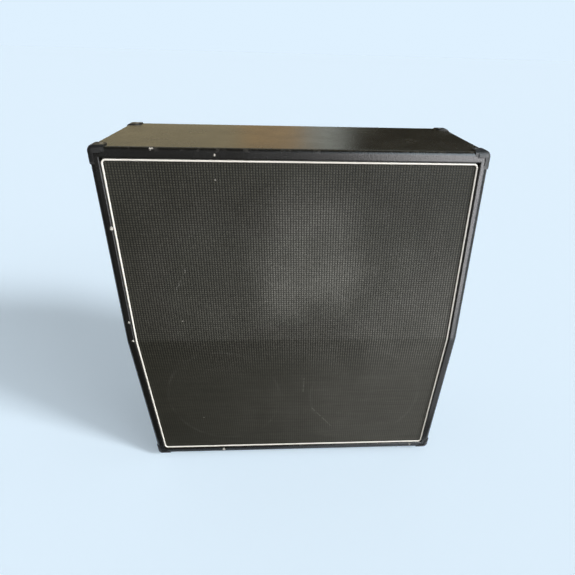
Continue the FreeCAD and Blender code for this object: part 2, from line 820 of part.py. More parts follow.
def bead_half(sign):
    """One half of the bead's centre line, from the middle of the base to the middle of the top."""
    depth = CLOTH_RECESS - BEAD / 2
    x = sign * (LINED_SIDE - BEAD / 2 - GLUE_GAP)
    low = front_point(depth, LINED_LOW + BEAD / 2 + GLUE_GAP)
    high = front_point(depth, LINED_HIGH - BEAD / 2 - GLUE_GAP)
    radius = BEAD_CORNER_RADIUS
    inside = Vector(-sign * radius, 0, 0)
    rise = Vector(0, 0, radius)
    lean = Vector(0, math.sin(SLANT), math.cos(SLANT)) * radius
    side = Vector(x, 0, 0)
    near = 1 - math.sqrt(0.5)
    base_start = Vector(sign * BEAD_BUTT_GAP / 2, low.y, low.z)
    base_end = side + low + inside
    side_low = side + low + rise
    side_high = side + high - lean
    top_start = side + high + inside
    top_end = Vector(0, high.y, high.z)
    return [
        Part.LineSegment(base_start, base_end).toShape(),
        Part.Arc(base_end, side + low + (inside + rise) * near, side_low).toShape(),
        Part.LineSegment(side_low, side + arc_point(depth, 0.0)).toShape(),
        Part.Arc(*(side + arc_point(depth, share) for share in (0.0, 0.5, 1.0))).toShape(),
        Part.LineSegment(side + arc_point(depth, 1.0), side_high).toShape(),
        Part.Arc(side_high, side + high + (inside - lean) * near, top_start).toShape(),
        Part.LineSegment(top_start, top_end).toShape(),
    ]


def build_piping():
    """The bead around the cloth with the flat tail that is pinched behind it."""
    solids = []
    for sign in (-1, 1):
        edges = bead_half(sign)
        start = edges[0].valueAt(edges[0].FirstParameter)
        ring = Part.Wire(Part.makeCircle(BEAD / 2, start, Vector(1, 0, 0)))
        solids.append(Part.Wire(edges).makePipeShell([ring], True, False))
    spare = (CLOTH_GAP - BEAD_TAIL) / 2
    clear = BEAD_CORNER_RADIUS + BEAD
    depth_from = CLOTH_RECESS - BEAD / 2
    depth_to = CLOTH_RECESS + BEAD_TAIL_DEPTH
    outer = LINED_SIDE - spare
    side_low = LINED_LOW + clear
    side_high = LINED_HIGH - clear
    for x_from, x_to in ((-outer, BEAD_TAIL - outer), (outer - BEAD_TAIL, outer)):
        solids.append(front_board(depth_from, depth_to, side_low, side_high, x_from, x_to))
    low = LINED_LOW + spare
    high = LINED_HIGH - spare
    reach = LINED_SIDE - clear
    for x_from, x_to in ((-reach, -BEAD_BUTT_GAP / 2), (BEAD_BUTT_GAP / 2, reach)):
        solids.append(front_strip(depth_from, depth_to, low, low + BEAD_TAIL, x_from, x_to))
    solids.append(front_strip(depth_from, depth_to, high - BEAD_TAIL, high, -reach, reach))
    return {"piping": solids[0].multiFuse(solids[1:])}


# Speakers

def cone_height(radius):
    """The height of the cone's front face at a radius."""
    slope = (CONE_NECK_DEPTH - CONE_RIM_DEPTH) / (CONE_RADIUS - CONE_RIM - neck_radius())
    return (radius - neck_radius()) * slope - CONE_NECK_DEPTH


def neck_radius():
    """The radius of the cone's neck, glued around the coil former."""
    return COIL_BORE_RADIUS + COIL_WALL + GLUE_GAP


def speaker_frame():
    """The pressed frame: flange, basket with windows, landing and cup."""
    mouth = CUTOUT_RADIUS - BASKET_CLEARANCE
    flange = -GASKET - FRAME_SHEET
    landing = -LANDING_DEPTH
    sheet = FRAME_SHEET
    body = spun(
        (SPEAKER_RADIUS, -GASKET),
        (SPEAKER_RADIUS, flange),
        (mouth, flange),
        (LANDING_RADIUS, landing - sheet),
        (CUP_RADIUS, landing - sheet),
        (CUP_RADIUS, -FRAME_DEPTH),
        (CUP_BORE_RADIUS, -FRAME_DEPTH),
        (CUP_BORE_RADIUS, sheet - FRAME_DEPTH),
        (CUP_RADIUS - sheet, sheet - FRAME_DEPTH),
        (CUP_RADIUS - sheet, landing),
        (LANDING_RADIUS - sheet / 2, landing),
        (mouth - sheet, flange),
        (mouth - sheet, -GASKET),
    )
    cut = outline(
        Vector(LANDING_RADIUS + WINDOW_MARGIN, 0, -FRAME_DEPTH),
        Vector(mouth - WINDOW_MARGIN, 0, -FRAME_DEPTH),
        Vector(mouth - WINDOW_MARGIN, 0, flange - WINDOW_MARGIN),
        Vector(LANDING_RADIUS + WINDOW_MARGIN, 0, flange - WINDOW_MARGIN),
    ).revolve(Vector(0, 0, 0), Vector(0, 0, 1), WINDOW_ANGLE)
    windows = []
    for i in range(WINDOWS):
        turn = Rotation(Vector(0, 0, 1), 360.0 * i / WINDOWS + WINDOW_ANGLE / 4)
        windows.append(at(Placement(Vector(0, 0, 0), turn), cut))
    return body.cut(group(windows)).cut(group(stud_holes(MARGIN)))


def speaker_motor():
    """Top plate, magnet and yoke, from front to rear."""
    winding = COIL_BORE_RADIUS + 2 * COIL_WALL
    plate_rear = -FRAME_DEPTH - TOP_PLATE
    magnet_rear = plate_rear - MAGNET
    return {
        "top_plates": spun(
            (winding + COIL_RUNNING_GAP, -FRAME_DEPTH),
            (TOP_PLATE_RADIUS, -FRAME_DEPTH),
            (TOP_PLATE_RADIUS, plate_rear),
            (winding + COIL_RUNNING_GAP, plate_rear),
        ),
        "magnet": spun(
            (MAGNET_BORE_RADIUS, plate_rear),
            (MAGNET_RADIUS, plate_rear),
            (MAGNET_RADIUS, magnet_rear),
            (MAGNET_BORE_RADIUS, magnet_rear),
        ),
        "yokes": spun(
            (0, -FRAME_DEPTH),
            (COIL_BORE_RADIUS - COIL_RUNNING_GAP, -FRAME_DEPTH),
            (COIL_BORE_RADIUS - COIL_RUNNING_GAP, magnet_rear),
            (YOKE_RADIUS, magnet_rear),
            (YOKE_RADIUS, magnet_rear - YOKE),
            (0, magnet_rear - YOKE),
        ),
    }


def speaker_moving_parts():
    """Cone, dust cap and voice coil, which travel together."""
    neck = neck_radius()
    bore = COIL_BORE_RADIUS
    coil_end = -COIL_TOP_DEPTH - COIL_LENGTH
    cap_base = cone_height(DUST_CAP_RADIUS) + GLUE_GAP
    cap_inner = DUST_CAP_RADIUS - SOFT_SHEET
    cap_hollow = DUST_CAP_RISE - SOFT_SHEET
    return {
        "cone": spun(
            (neck, cone_height(neck)),
            (CONE_RADIUS - CONE_RIM, -CONE_RIM_DEPTH),
            (CONE_RADIUS, -CONE_RIM_DEPTH),
            (CONE_RADIUS, -CONE_RIM_DEPTH - CONE_SHEET),
            (CONE_RADIUS - CONE_RIM, -CONE_RIM_DEPTH - CONE_SHEET),
            (neck, cone_height(neck) - CONE_SHEET),
        ),
        "dust_cap": spun(
            (0, cap_base + DUST_CAP_RISE),
            (dome_point(DUST_CAP_RADIUS, DUST_CAP_RISE, cap_base), (DUST_CAP_RADIUS, cap_base)),
            (cap_inner, cap_base),
            (dome_point(cap_inner, cap_hollow, cap_base), (0, cap_base + cap_hollow)),
        ),
        "voice_coil": spun(
            (bore, -COIL_TOP_DEPTH),
            (bore + COIL_WALL, -COIL_TOP_DEPTH),
            (bore + COIL_WALL, -COIL_WINDING_DEPTH),
            (bore + 2 * COIL_WALL, -COIL_WINDING_DEPTH),
            (bore + 2 * COIL_WALL, coil_end),
            (bore, coil_end),
        ),
    }


def sheet_ring(points):
    """A thin turned sheet whose lower face follows points of radius and height."""
    upper = [(radius, height + SOFT_SHEET) for radius, height in reversed(points)]
    return spun(*points, *upper)


def speaker_suspension():
    """The surround and the spider, which bend as the cone travels."""
    frame_mouth = CUTOUT_RADIUS - BASKET_CLEARANCE - FRAME_SHEET
    rim = CONE_RADIUS - CONE_RIM
    roll = (frame_mouth - CONE_RADIUS) / 3
    surround = [
        (rim, -CONE_RIM_DEPTH),
        (CONE_RADIUS, -CONE_RIM_DEPTH),
        (CONE_RADIUS + roll, SURROUND_ROLL - CONE_RIM_DEPTH),
        (CONE_RADIUS + 2 * roll, SURROUND_ROLL / 2 - CONE_RIM_DEPTH),
        (frame_mouth, -GASKET),
        (frame_mouth + SURROUND_RIM, -GASKET),
    ]
    inner = neck_radius()
    edge = CUP_RADIUS - FRAME_SHEET - SOFT_SHEET
    spider = [(inner, -LANDING_DEPTH - SPIDER_DROP)]
    steps = 2 * SPIDER_WAVES
    for i in range(1, steps):
        share = i / steps
        height = -LANDING_DEPTH - SPIDER_DROP * (1 - share)
        wave = SPIDER_WAVE if i % 2 else -SPIDER_WAVE
        spider.append((inner + (edge - inner) * share, height + wave / 2 - SPIDER_WAVE / 2))
    spider += [(edge, -LANDING_DEPTH), (edge + SPIDER_RIM, -LANDING_DEPTH)]
    return {"cone_surrounds": sheet_ring(surround), "spiders": sheet_ring(spider)}


def speaker_fittings(sign):
    """Gasket, terminal board, studs and nuts of one speaker; the board points to the middle."""
    gasket = spun(
        (CUTOUT_RADIUS, 0),
        (SPEAKER_RADIUS, 0),
        (SPEAKER_RADIUS, -GASKET),
        (CUTOUT_RADIUS, -GASKET),
    )
    rear = -LANDING_DEPTH - FRAME_SHEET
    near = CUP_RADIUS + TERMINAL_BOARD
    half = TERMINAL_WIDTH / 2
    end = near + TERMINAL_REACH
    board = box(near, end, -half, half, rear - TERMINAL_BOARD, rear)
    tab = end - TAB_FROM_END
    for side in (-1, 1):
        middle = side * (half - TAB_WIDTH / 2)
        board = board.fuse(box(
            tab - TAB / 2, tab + TAB / 2,
            middle - TAB_WIDTH / 2, middle + TAB_WIDTH / 2,
            rear - TERMINAL_BOARD - TAB_LENGTH, rear,
        ))
    inward = Placement(Vector(0, 0, 0), Rotation(Vector(0, 0, 1), 0 if sign < 0 else 180))
    nut_front = -GASKET - FRAME_SHEET
    stud_end = nut_front - STUD_NUT - STUD_TIP
    stud = spun(
        (0, BAFFLE),
        (STUD_HEAD_RADIUS, BAFFLE),
        (STUD_RADIUS, BAFFLE - STUD_HEAD_RADIUS + STUD_RADIUS),
        (STUD_RADIUS, stud_end),
        (0, stud_end),
    )
    nut = hexagon(STUD_NUT_RADIUS, STUD_NUT).translated(Vector(0, 0, nut_front - STUD_NUT))
    nut = nut.cut(rod(STUD_RADIUS + PILOT_CLEARANCE, Vector(0, 0, stud_end), Vector(0, 0, 1), -stud_end))
    spots = [Placement(point, Rotation()) for point in stud_points()]
    return {
        "speaker_gaskets": [gasket.cut(group(stud_holes(MARGIN)))],
        "terminal_boards": [at(inward, board)],
        "speaker_studs": [at(spot, stud) for spot in spots],
        "speaker_nuts": [at(spot, nut) for spot in spots],
    }


def build_speakers():
    """Four speakers: main parts as their own pieces, small like parts in groups."""
    frame = speaker_frame()
    motor = speaker_motor()
    moving = speaker_moving_parts()
    soft = speaker_suspension()
    pieces = {}
    groups = {}
    for name, (place, sign) in speaker_places().items():
        pieces[name + "_frame"] = at(place, frame)
        pieces[name + "_magnet"] = at(place, motor["magnet"])
        for part_name, shape in moving.items():
            pieces[name + "_" + part_name] = at(place, shape)
        shared = dict(speaker_fittings(sign))
        shared.update({key: [motor[key]] for key in ("top_plates", "yokes")})
        shared.update({key: [shape] for key, shape in soft.items()})
        for key, shapes in shared.items():
            groups.setdefault(key, []).extend(at(place, shape) for shape in shapes)
    pieces.update({key: group(shapes) for key, shapes in groups.items()})
    return pieces


# Corner protectors

def lip_trims(x_sign, y_sign, z_sign):
    """What is cut from a protector's front or rear leaf to leave its narrow lip."""
    level = TOP if z_sign > 0 else BASE
    thick = 2 * CORNER

    def leaf(x_in, x_out, z_in, z_out):
        """A slab of the leaf between distances from the side and from the top or base."""
        x_from, x_to = sorted((x_sign * (SIDE - x_in), x_sign * (SIDE - x_out)))
        z_from, z_to = sorted((level - z_sign * z_in, level - z_sign * z_out))
        if y_sign < 0:
            return front_strip(-thick, 0, z_from, z_to, x_from, x_to)
        return box(x_from, x_to, REAR, REAR + thick, z_from, z_to)

    far_x = CORNER_LEG_X + MARGIN
    far_z = CORNER_LEG_Z + MARGIN
    return [
        leaf(far_x, LIP, far_z, LIP),
        leaf(far_x, LIP_LEG_X, LIP, -thick),
        leaf(LIP, -thick, far_z, LIP_LEG_Z),
    ]


def corner_region(x_sign, y_sign, z_sign):
    """The space a protector covers, rounded where its leaves end."""
    level = TOP if z_sign > 0 else BASE
    edge_y = corner_edge_y(y_sign, level)
    x_from, x_to = sorted((x_sign * (SIDE - CORNER_LEG_X), x_sign * (SIDE + MARGIN)))
    y_from, y_to = sorted((edge_y - y_sign * CORNER_LEG_Y, edge_y + y_sign * MARGIN))
    z_from, z_to = sorted((level - z_sign * CORNER_LEG_Z, level + z_sign * MARGIN))
    block = box(x_from, x_to, y_from, y_to, z_from, z_to)
    end_x = x_sign * (SIDE - CORNER_LEG_X)
    end_y = edge_y - y_sign * CORNER_LEG_Y
    end_z = level - z_sign * CORNER_LEG_Z
    edges = []
    for edge in block.Edges:
        middle = edge.CenterOfMass
        flat_end = abs(middle.x - end_x) < TOUCH and abs(middle.y - end_y) < TOUCH
        side_end = abs(middle.z - end_z) < TOUCH and abs(middle.y - end_y) < TOUCH
        if flat_end or side_end:
            edges.append(edge)
    return block.makeFillet(CORNER_ROUND, edges)


def build_corners():
    """Eight moulded protectors: four at the front and four at the rear."""
    layer = envelope(-CORNER).cut(envelope(0))
    seats = corner_screw_seats()
    holes = group(pilots(seats, SCREW_LENGTH) + countersinks(seats))
    rows = {-1: [], 1: []}
    for signs in corner_signs():
        cap = layer.common(corner_region(*signs))
        for trim in lip_trims(*signs):
            cap = cap.cut(trim)
        rows[signs[1]].append(cap.cut(holes))
    return {"front_corner_protectors": group(rows[-1]), "rear_corner_protectors": group(rows[1])}


# Handles, feet and sockets

def handle(sign):
    """A moulded handle: flange, pan, and a grip lip over the upper part of the mouth."""
    middle = handle_centre(sign)
    axis = Vector(1, 0, 0)

    def block(depth_from, depth_to, half_y, z_low, z_high, radius):
        """A rounded block from one depth behind the covered side to another."""
        x_from, x_to = sorted((sign * (SIDE - depth_from), sign * (SIDE - depth_to)))
        return rounded_box(
            x_from, x_to, middle.y - half_y, middle.y + half_y,
            middle.z + z_low, middle.z + z_high, radius, axis)

    half_y = PAN_LENGTH / 2
    half_z = PAN_HEIGHT / 2
    inner_y = half_y - PAN_WALL
    inner_z = half_z - PAN_WALL
    inner_round = PAN_ROUND - PAN_WALL
    flange = block(
        -HANDLE_FLANGE, 0, HANDLE_LENGTH / 2, -HANDLE_HEIGHT / 2, HANDLE_HEIGHT / 2, HANDLE_ROUND)
    pan = block(0, PAN_DEPTH, half_y, -half_z, half_z, PAN_ROUND)
    pocket_front = GRIP_THICKNESS - HANDLE_FLANGE
    pocket = block(pocket_front, PAN_DEPTH - PAN_WALL, inner_y, -inner_z, inner_z, inner_round)
    mouth_y = inner_y - MOUTH_RIM
    mouth_low = MOUTH_RIM - inner_z
    mouth_high = inner_z - GRIP_HEIGHT
    mouth = block(-HANDLE_FLANGE - MARGIN, PAN_DEPTH / 2, mouth_y, mouth_low, mouth_high, inner_round)
    shape = flange.fuse(pan).cut(pocket).cut(mouth).removeSplitter()
    faces = (SIDE + HANDLE_FLANGE, SIDE - pocket_front)
    rim_edges = []
    for edge in shape.Edges:
        centre = edge.CenterOfMass
        on_face = edge.BoundBox.XLength < TOUCH and min(abs(abs(centre.x) - face) for face in faces) < TOUCH
        beside = abs(centre.y - middle.y) < mouth_y + TOUCH
        between = mouth_low - TOUCH < centre.z - middle.z < mouth_high + TOUCH
        if on_face and beside and between:
            rim_edges.append(edge)
    shape = shape.makeFillet(GRIP_ROUND, rim_edges)
    return shape.cut(group(pilots(handle_screw_seats(), SCREW_LENGTH)))


def build_fittings():
    """Both handles, the feet and the caster sockets."""
    well = FOOT_WELL_RADIUS
    bore = SCREW_SHANK_RADIUS + PILOT_CLEARANCE
    foot = spun(
        (bore, FOOT_HEIGHT),
        (FOOT_RADIUS, FOOT_HEIGHT),
        (FOOT_TOE_RADIUS, 0),
        (well, 0),
        (well, FOOT_WELL),
        (bore, FOOT_WELL),
    )
    sleeve = SOCKET_BORE_RADIUS + SOCKET_WALL
    socket = spun(
        (SOCKET_BORE_RADIUS, -SOCKET_FLANGE),
        (SOCKET_FLANGE_RADIUS, -SOCKET_FLANGE),
        (SOCKET_FLANGE_RADIUS, 0),
        (sleeve, 0),
        (sleeve, SOCKET_LENGTH),
        (SOCKET_BORE_RADIUS, SOCKET_LENGTH),
    )
    return {
        "left_handle": handle(-1),
        "right_handle": handle(1),
        "feet": group([at(Placement(place, Rotation()), foot) for place in foot_centres()]),
        "caster_sockets": group([at(Placement(place, Rotation()), socket) for place in socket_places()]),
    }


# Jack plate

def jack_centres():
    """The two jacks on the plate's inner face."""
    return [plate_centre() + Vector(x * JACK_SPACING / 2, 0, 0) for x in (-1, 1)]


def lug_ends(centre):
    """The tips of a jack's two solder lugs, upper and lower."""
    rear = JACK_BODY_DEPTH + LUG_LENGTH
    return [centre + Vector(0, -rear, z * LUG_OFFSET) for z in (1, -1)]


def build_jacks():
    """The plate with two jacks, their nuts, and the selector switch with its sliding knob."""
    middle = plate_centre()
    back = Vector(0, 1, 0)
    plate = rounded_box(
        -PLATE_WIDTH / 2, PLATE_WIDTH / 2, BACK_FACE, BACK_FACE + PLATE,
        middle.z - PLATE_HEIGHT / 2, middle.z + PLATE_HEIGHT / 2, PLATE_ROUND, back)
    holes = pilots(plate_screw_seats(), SCREW_LENGTH)
    jacks = []
    nuts = []
    half = JACK_BODY / 2
    for centre in jack_centres():
        holes.append(rod(JACK_BUSH_RADIUS + JACK_CLEARANCE, centre, back, PLATE + TOUCH))
        body = box(
            centre.x - half, centre.x + half, centre.y - JACK_BODY_DEPTH, centre.y,
            centre.z - half, centre.z + half)
        body = body.fuse(rod(JACK_BUSH_RADIUS, centre, back, PLATE + JACK_BUSH_STAND))
        for tip in lug_ends(centre):
            body = body.fuse(box(
                tip.x - LUG_WIDTH / 2, tip.x + LUG_WIDTH / 2, tip.y, tip.y + LUG_LENGTH,
                tip.z - LUG_WIDTH / 2, tip.z + LUG_WIDTH / 2))
        bore_start = centre - back * (JACK_BODY_DEPTH - JACK_END_WALL)
        jacks.append(body.cut(rod(JACK_BORE_RADIUS, bore_start, back, JACK_BODY_DEPTH + MARGIN)))
        face = centre + back * PLATE
        nut = at(facing(face, back), hexagon(JACK_NUT_RADIUS, JACK_NUT))
        nuts.append(nut.cut(rod(JACK_BUSH_RADIUS + PILOT_CLEARANCE, face, back, JACK_NUT)))

    gap = SELECTOR_CLEARANCE
    knob_left = middle.x - (KNOB_LENGTH + SELECTOR_TRAVEL) / 2
    slider_left = knob_left - (SLIDER_LENGTH - KNOB_LENGTH) / 2
    knob_low = middle.z - KNOB_HEIGHT / 2
    knob_high = middle.z + KNOB_HEIGHT / 2
    tray_low = middle.z - SELECTOR_HEIGHT / 2 + SELECTOR_WALL
    tray_high = middle.z + SELECTOR_HEIGHT / 2 - SELECTOR_WALL
    holes.append(box(
        knob_left - gap, knob_left + KNOB_LENGTH + SELECTOR_TRAVEL + gap,
        BACK_FACE, BACK_FACE + PLATE, knob_low - gap, knob_high + gap))
    case = box(
        middle.x - SELECTOR_WIDTH / 2, middle.x + SELECTOR_WIDTH / 2,
        BACK_FACE - SELECTOR_DEPTH, BACK_FACE,
        middle.z - SELECTOR_HEIGHT / 2, middle.z + SELECTOR_HEIGHT / 2)
    tray = box(
        slider_left - gap, slider_left + SLIDER_LENGTH + SELECTOR_TRAVEL + gap,
        BACK_FACE - SLIDER_BASE - 2 * gap, BACK_FACE, tray_low, tray_high)
    runner = box(
        slider_left, slider_left + SLIDER_LENGTH, BACK_FACE - SLIDER_BASE - gap, BACK_FACE - gap,
        tray_low + gap, tray_high - gap)
    knob = box(
        knob_left, knob_left + KNOB_LENGTH, BACK_FACE - SLIDER_BASE, BACK_FACE + PLATE + KNOB_STAND,
        knob_low, knob_high)
    return {
        "jack_plate": plate.cut(group(holes)),
        "jack_sockets": group(jacks),
        "jack_nuts": group(nuts),
        "selector_switch": case.cut(tray),
        "selector_slider": runner.fuse(knob),
    }


# Speaker leads

def rounded_route(points):
    """Straight runs joined by tangent arcs, each as large as its two runs allow."""
    edges = []
    radii = []
    here = points[0]
    for before, corner, after in zip(points, points[1:], points[2:]):
        back = before - corner
        ahead = after - corner
        run = LEAD_ARC_SHARE * min(back.Length, ahead.Length)
        back.normalize()
        ahead.normalize()
        turn = math.pi - back.getAngle(ahead)
        radius = run / math.tan(turn / 2)
        start = corner + back * run
        end = corner + ahead * run
        inward = back + ahead
        inward.normalize()
        middle = corner + inward * (radius / math.cos(turn / 2) - radius)
        edges.append(Part.LineSegment(here, start).toShape())
        edges.append(Part.Arc(start, middle, end).toShape())
        radii.append(radius)
        here = end
    edges.append(Part.LineSegment(here, points[-1]).toShape())
    return Part.Wire(edges), radii


def build_leads():
    """Four leads, each from a jack's lug to the inner tab of a speaker's terminal board."""
    tab_reach = CUP_RADIUS + TERMINAL_BOARD + TERMINAL_REACH - TAB_FROM_END
    tab_depth = -LANDING_DEPTH - FRAME_SHEET - TERMINAL_BOARD - TAB_LENGTH
    tab_side = TERMINAL_WIDTH / 2 - TAB_WIDTH / 2
    tubes = []
    for name, (place, sign) in speaker_places().items():
        row = name.split("_")[0]
        start = place.multVec(Vector(-sign * tab_reach, tab_side, tab_depth))
        end = lug_ends(jack_centres()[0 if sign < 0 else 1])[0 if row == "upper" else 1]
        leave = start + place.Rotation.multVec(Vector(0, 0, -LEAD_TAB_RUN))
        arrive = end + Vector(0, -LEAD_LUG_RUN, 0)
        way = arrive - leave
        bends = [leave + Vector(way.x * x, way.y * y, way.z * z) for x, y, z in LEAD_ROUTES[row]]
        path, radii = rounded_route([start, leave, *bends, arrive, end])
        first = path.Edges[0]
        ring = Part.Wire(Part.makeCircle(LEAD_RADIUS, start, first.tangentAt(first.FirstParameter)))
        tube = path.makePipeShell([ring], True, False)
        tubes.append(tube)
        plain = math.pi * LEAD_RADIUS ** 2 * path.Length
        print(name, "lead", round(path.Length), "mm, volume share", round(tube.Volume / plain, 4),
              "radii", [round(radius) for radius in radii])
    return {"speaker_leads": group(tubes)}


def main():
    """Build every piece and write each to its own file."""
    os.makedirs("parts", exist_ok=True)
    pieces = {}
    builders = (
        build_shell, build_back, build_boards, build_cloth, build_piping, build_speakers,
        build_corners, build_fittings, build_jacks, build_screws, build_leads,
    )
    for builder in builders:
        pieces.update(builder())
    for name, shape in pieces.items():
        shape.exportStep("parts/" + name + ".step")
        print(name, len(shape.Solids), round(shape.Volume), shape.isValid())
    print(len(pieces), "pieces")


main()
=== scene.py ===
"""Looks of a slant-front guitar speaker cabinet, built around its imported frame.

Metres, in the row frame: +Z is up, the front faces -Y, +X is to the right seen from the front.
"""
import logging
import math
from dataclasses import dataclass, field
from enum import Enum
from typing import Iterator, Optional, Union

import bmesh
import bpy
from mathutils import Euler, Matrix, Vector


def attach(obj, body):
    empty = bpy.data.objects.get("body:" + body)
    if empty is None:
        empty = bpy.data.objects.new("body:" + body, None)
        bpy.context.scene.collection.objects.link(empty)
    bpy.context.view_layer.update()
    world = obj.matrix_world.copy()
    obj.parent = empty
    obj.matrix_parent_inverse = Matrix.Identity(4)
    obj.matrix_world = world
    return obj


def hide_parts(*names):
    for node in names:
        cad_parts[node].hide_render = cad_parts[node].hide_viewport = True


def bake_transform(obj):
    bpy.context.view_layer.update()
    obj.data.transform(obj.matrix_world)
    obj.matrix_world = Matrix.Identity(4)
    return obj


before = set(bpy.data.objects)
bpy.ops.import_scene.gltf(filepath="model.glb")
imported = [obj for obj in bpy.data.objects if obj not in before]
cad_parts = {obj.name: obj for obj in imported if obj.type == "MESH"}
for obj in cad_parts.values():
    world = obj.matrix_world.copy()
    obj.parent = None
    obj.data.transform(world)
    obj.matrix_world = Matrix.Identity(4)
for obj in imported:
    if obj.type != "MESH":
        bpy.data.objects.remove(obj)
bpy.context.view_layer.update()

LOG = logging.getLogger("speaker_cabinet")

Colour = tuple[float, float, float]
Point = tuple[float, float, float]
Socket = bpy.types.NodeSocket
Value = Union[float, Colour, Socket]
Stops = tuple[tuple[float, Colour], ...]


class Axis(Enum):
    """A direction of the row frame, by its place in a vector."""

    X = 0
    Y = 1
    Z = 2


class Row(Enum):
    """The two rows of speakers."""

    LOWER = "lower"
    UPPER = "upper"


class Side(Enum):
    """The two sides, by the word in the names of their parts."""

    LEFT = "left"
    RIGHT = "right"

    @property
    def sign(self) -> float:
        """The side's direction along X."""
        return -1.0 if self is Side.LEFT else 1.0


@dataclass(frozen=True)
class Outline:
    """The cabinet's outside and its speaker holes, as the frame has them."""

    side: float = 0.385
    base: float = 0.015
    top: float = 0.770
    bend: float = 0.387
    front: float = -0.1875
    rear: float = 0.1875
    setback: float = 0.073
    bend_radius: float = 0.040
    speaker_x: float = 0.1812
    hole: float = 0.1415

    @property
    def slant(self) -> float:
        """How far the upper front leans back, in radians."""
        return math.atan2(self.setback, self.top - self.bend)

    @property
    def arc_start(self) -> float:
        """The height at which the rounded bend starts."""
        return self.bend - self.bend_radius * math.tan(self.slant / 2)

    def along(self, run: float, low: float, depth: float) -> Vector:
        """A point of the front, by its way up from a height.

        Args:
            run: the way along the front from the start height.
            low: the start height.
            depth: how far the point lies behind the front.

        Returns:
            The point, at x = 0.
        """
        radius = self.bend_radius - depth
        start = self.arc_start - low
        if run <= start:
            return Vector((0.0, self.front + depth, low + run))
        turn = min((run - start) / radius, self.slant)
        past = run - start - turn * radius
        y = self.front + self.bend_radius - radius * math.cos(turn) + past * math.sin(self.slant)
        z = self.arc_start + radius * math.sin(turn) + past * math.cos(self.slant)
        return Vector((0.0, y, z))

    def facing(self, run: float, low: float, depth: float) -> Vector:
        """The way that the front looks at a point of it.

        Args:
            run: the way along the front from the start height.
            low: the start height.
            depth: how far the point lies behind the front.

        Returns:
            The unit vector out of the front.
        """
        past = (run - (self.arc_start - low)) / (self.bend_radius - depth)
        turn = min(max(past, 0.0), self.slant)
        return Vector((0.0, -math.cos(turn), math.sin(turn)))

    def length(self, low: float, high: float, depth: float) -> float:
        """The way along the front between two heights.

        Args:
            low: the lower height.
            high: the upper height.
            depth: how far the line lies behind the front.

        Returns:
            The length of the line.
        """
        radius = self.bend_radius - depth
        end = self.arc_start + radius * math.sin(self.slant)
        return self.arc_start - low + radius * self.slant + (high - end) / math.cos(self.slant)


BOX = Outline()


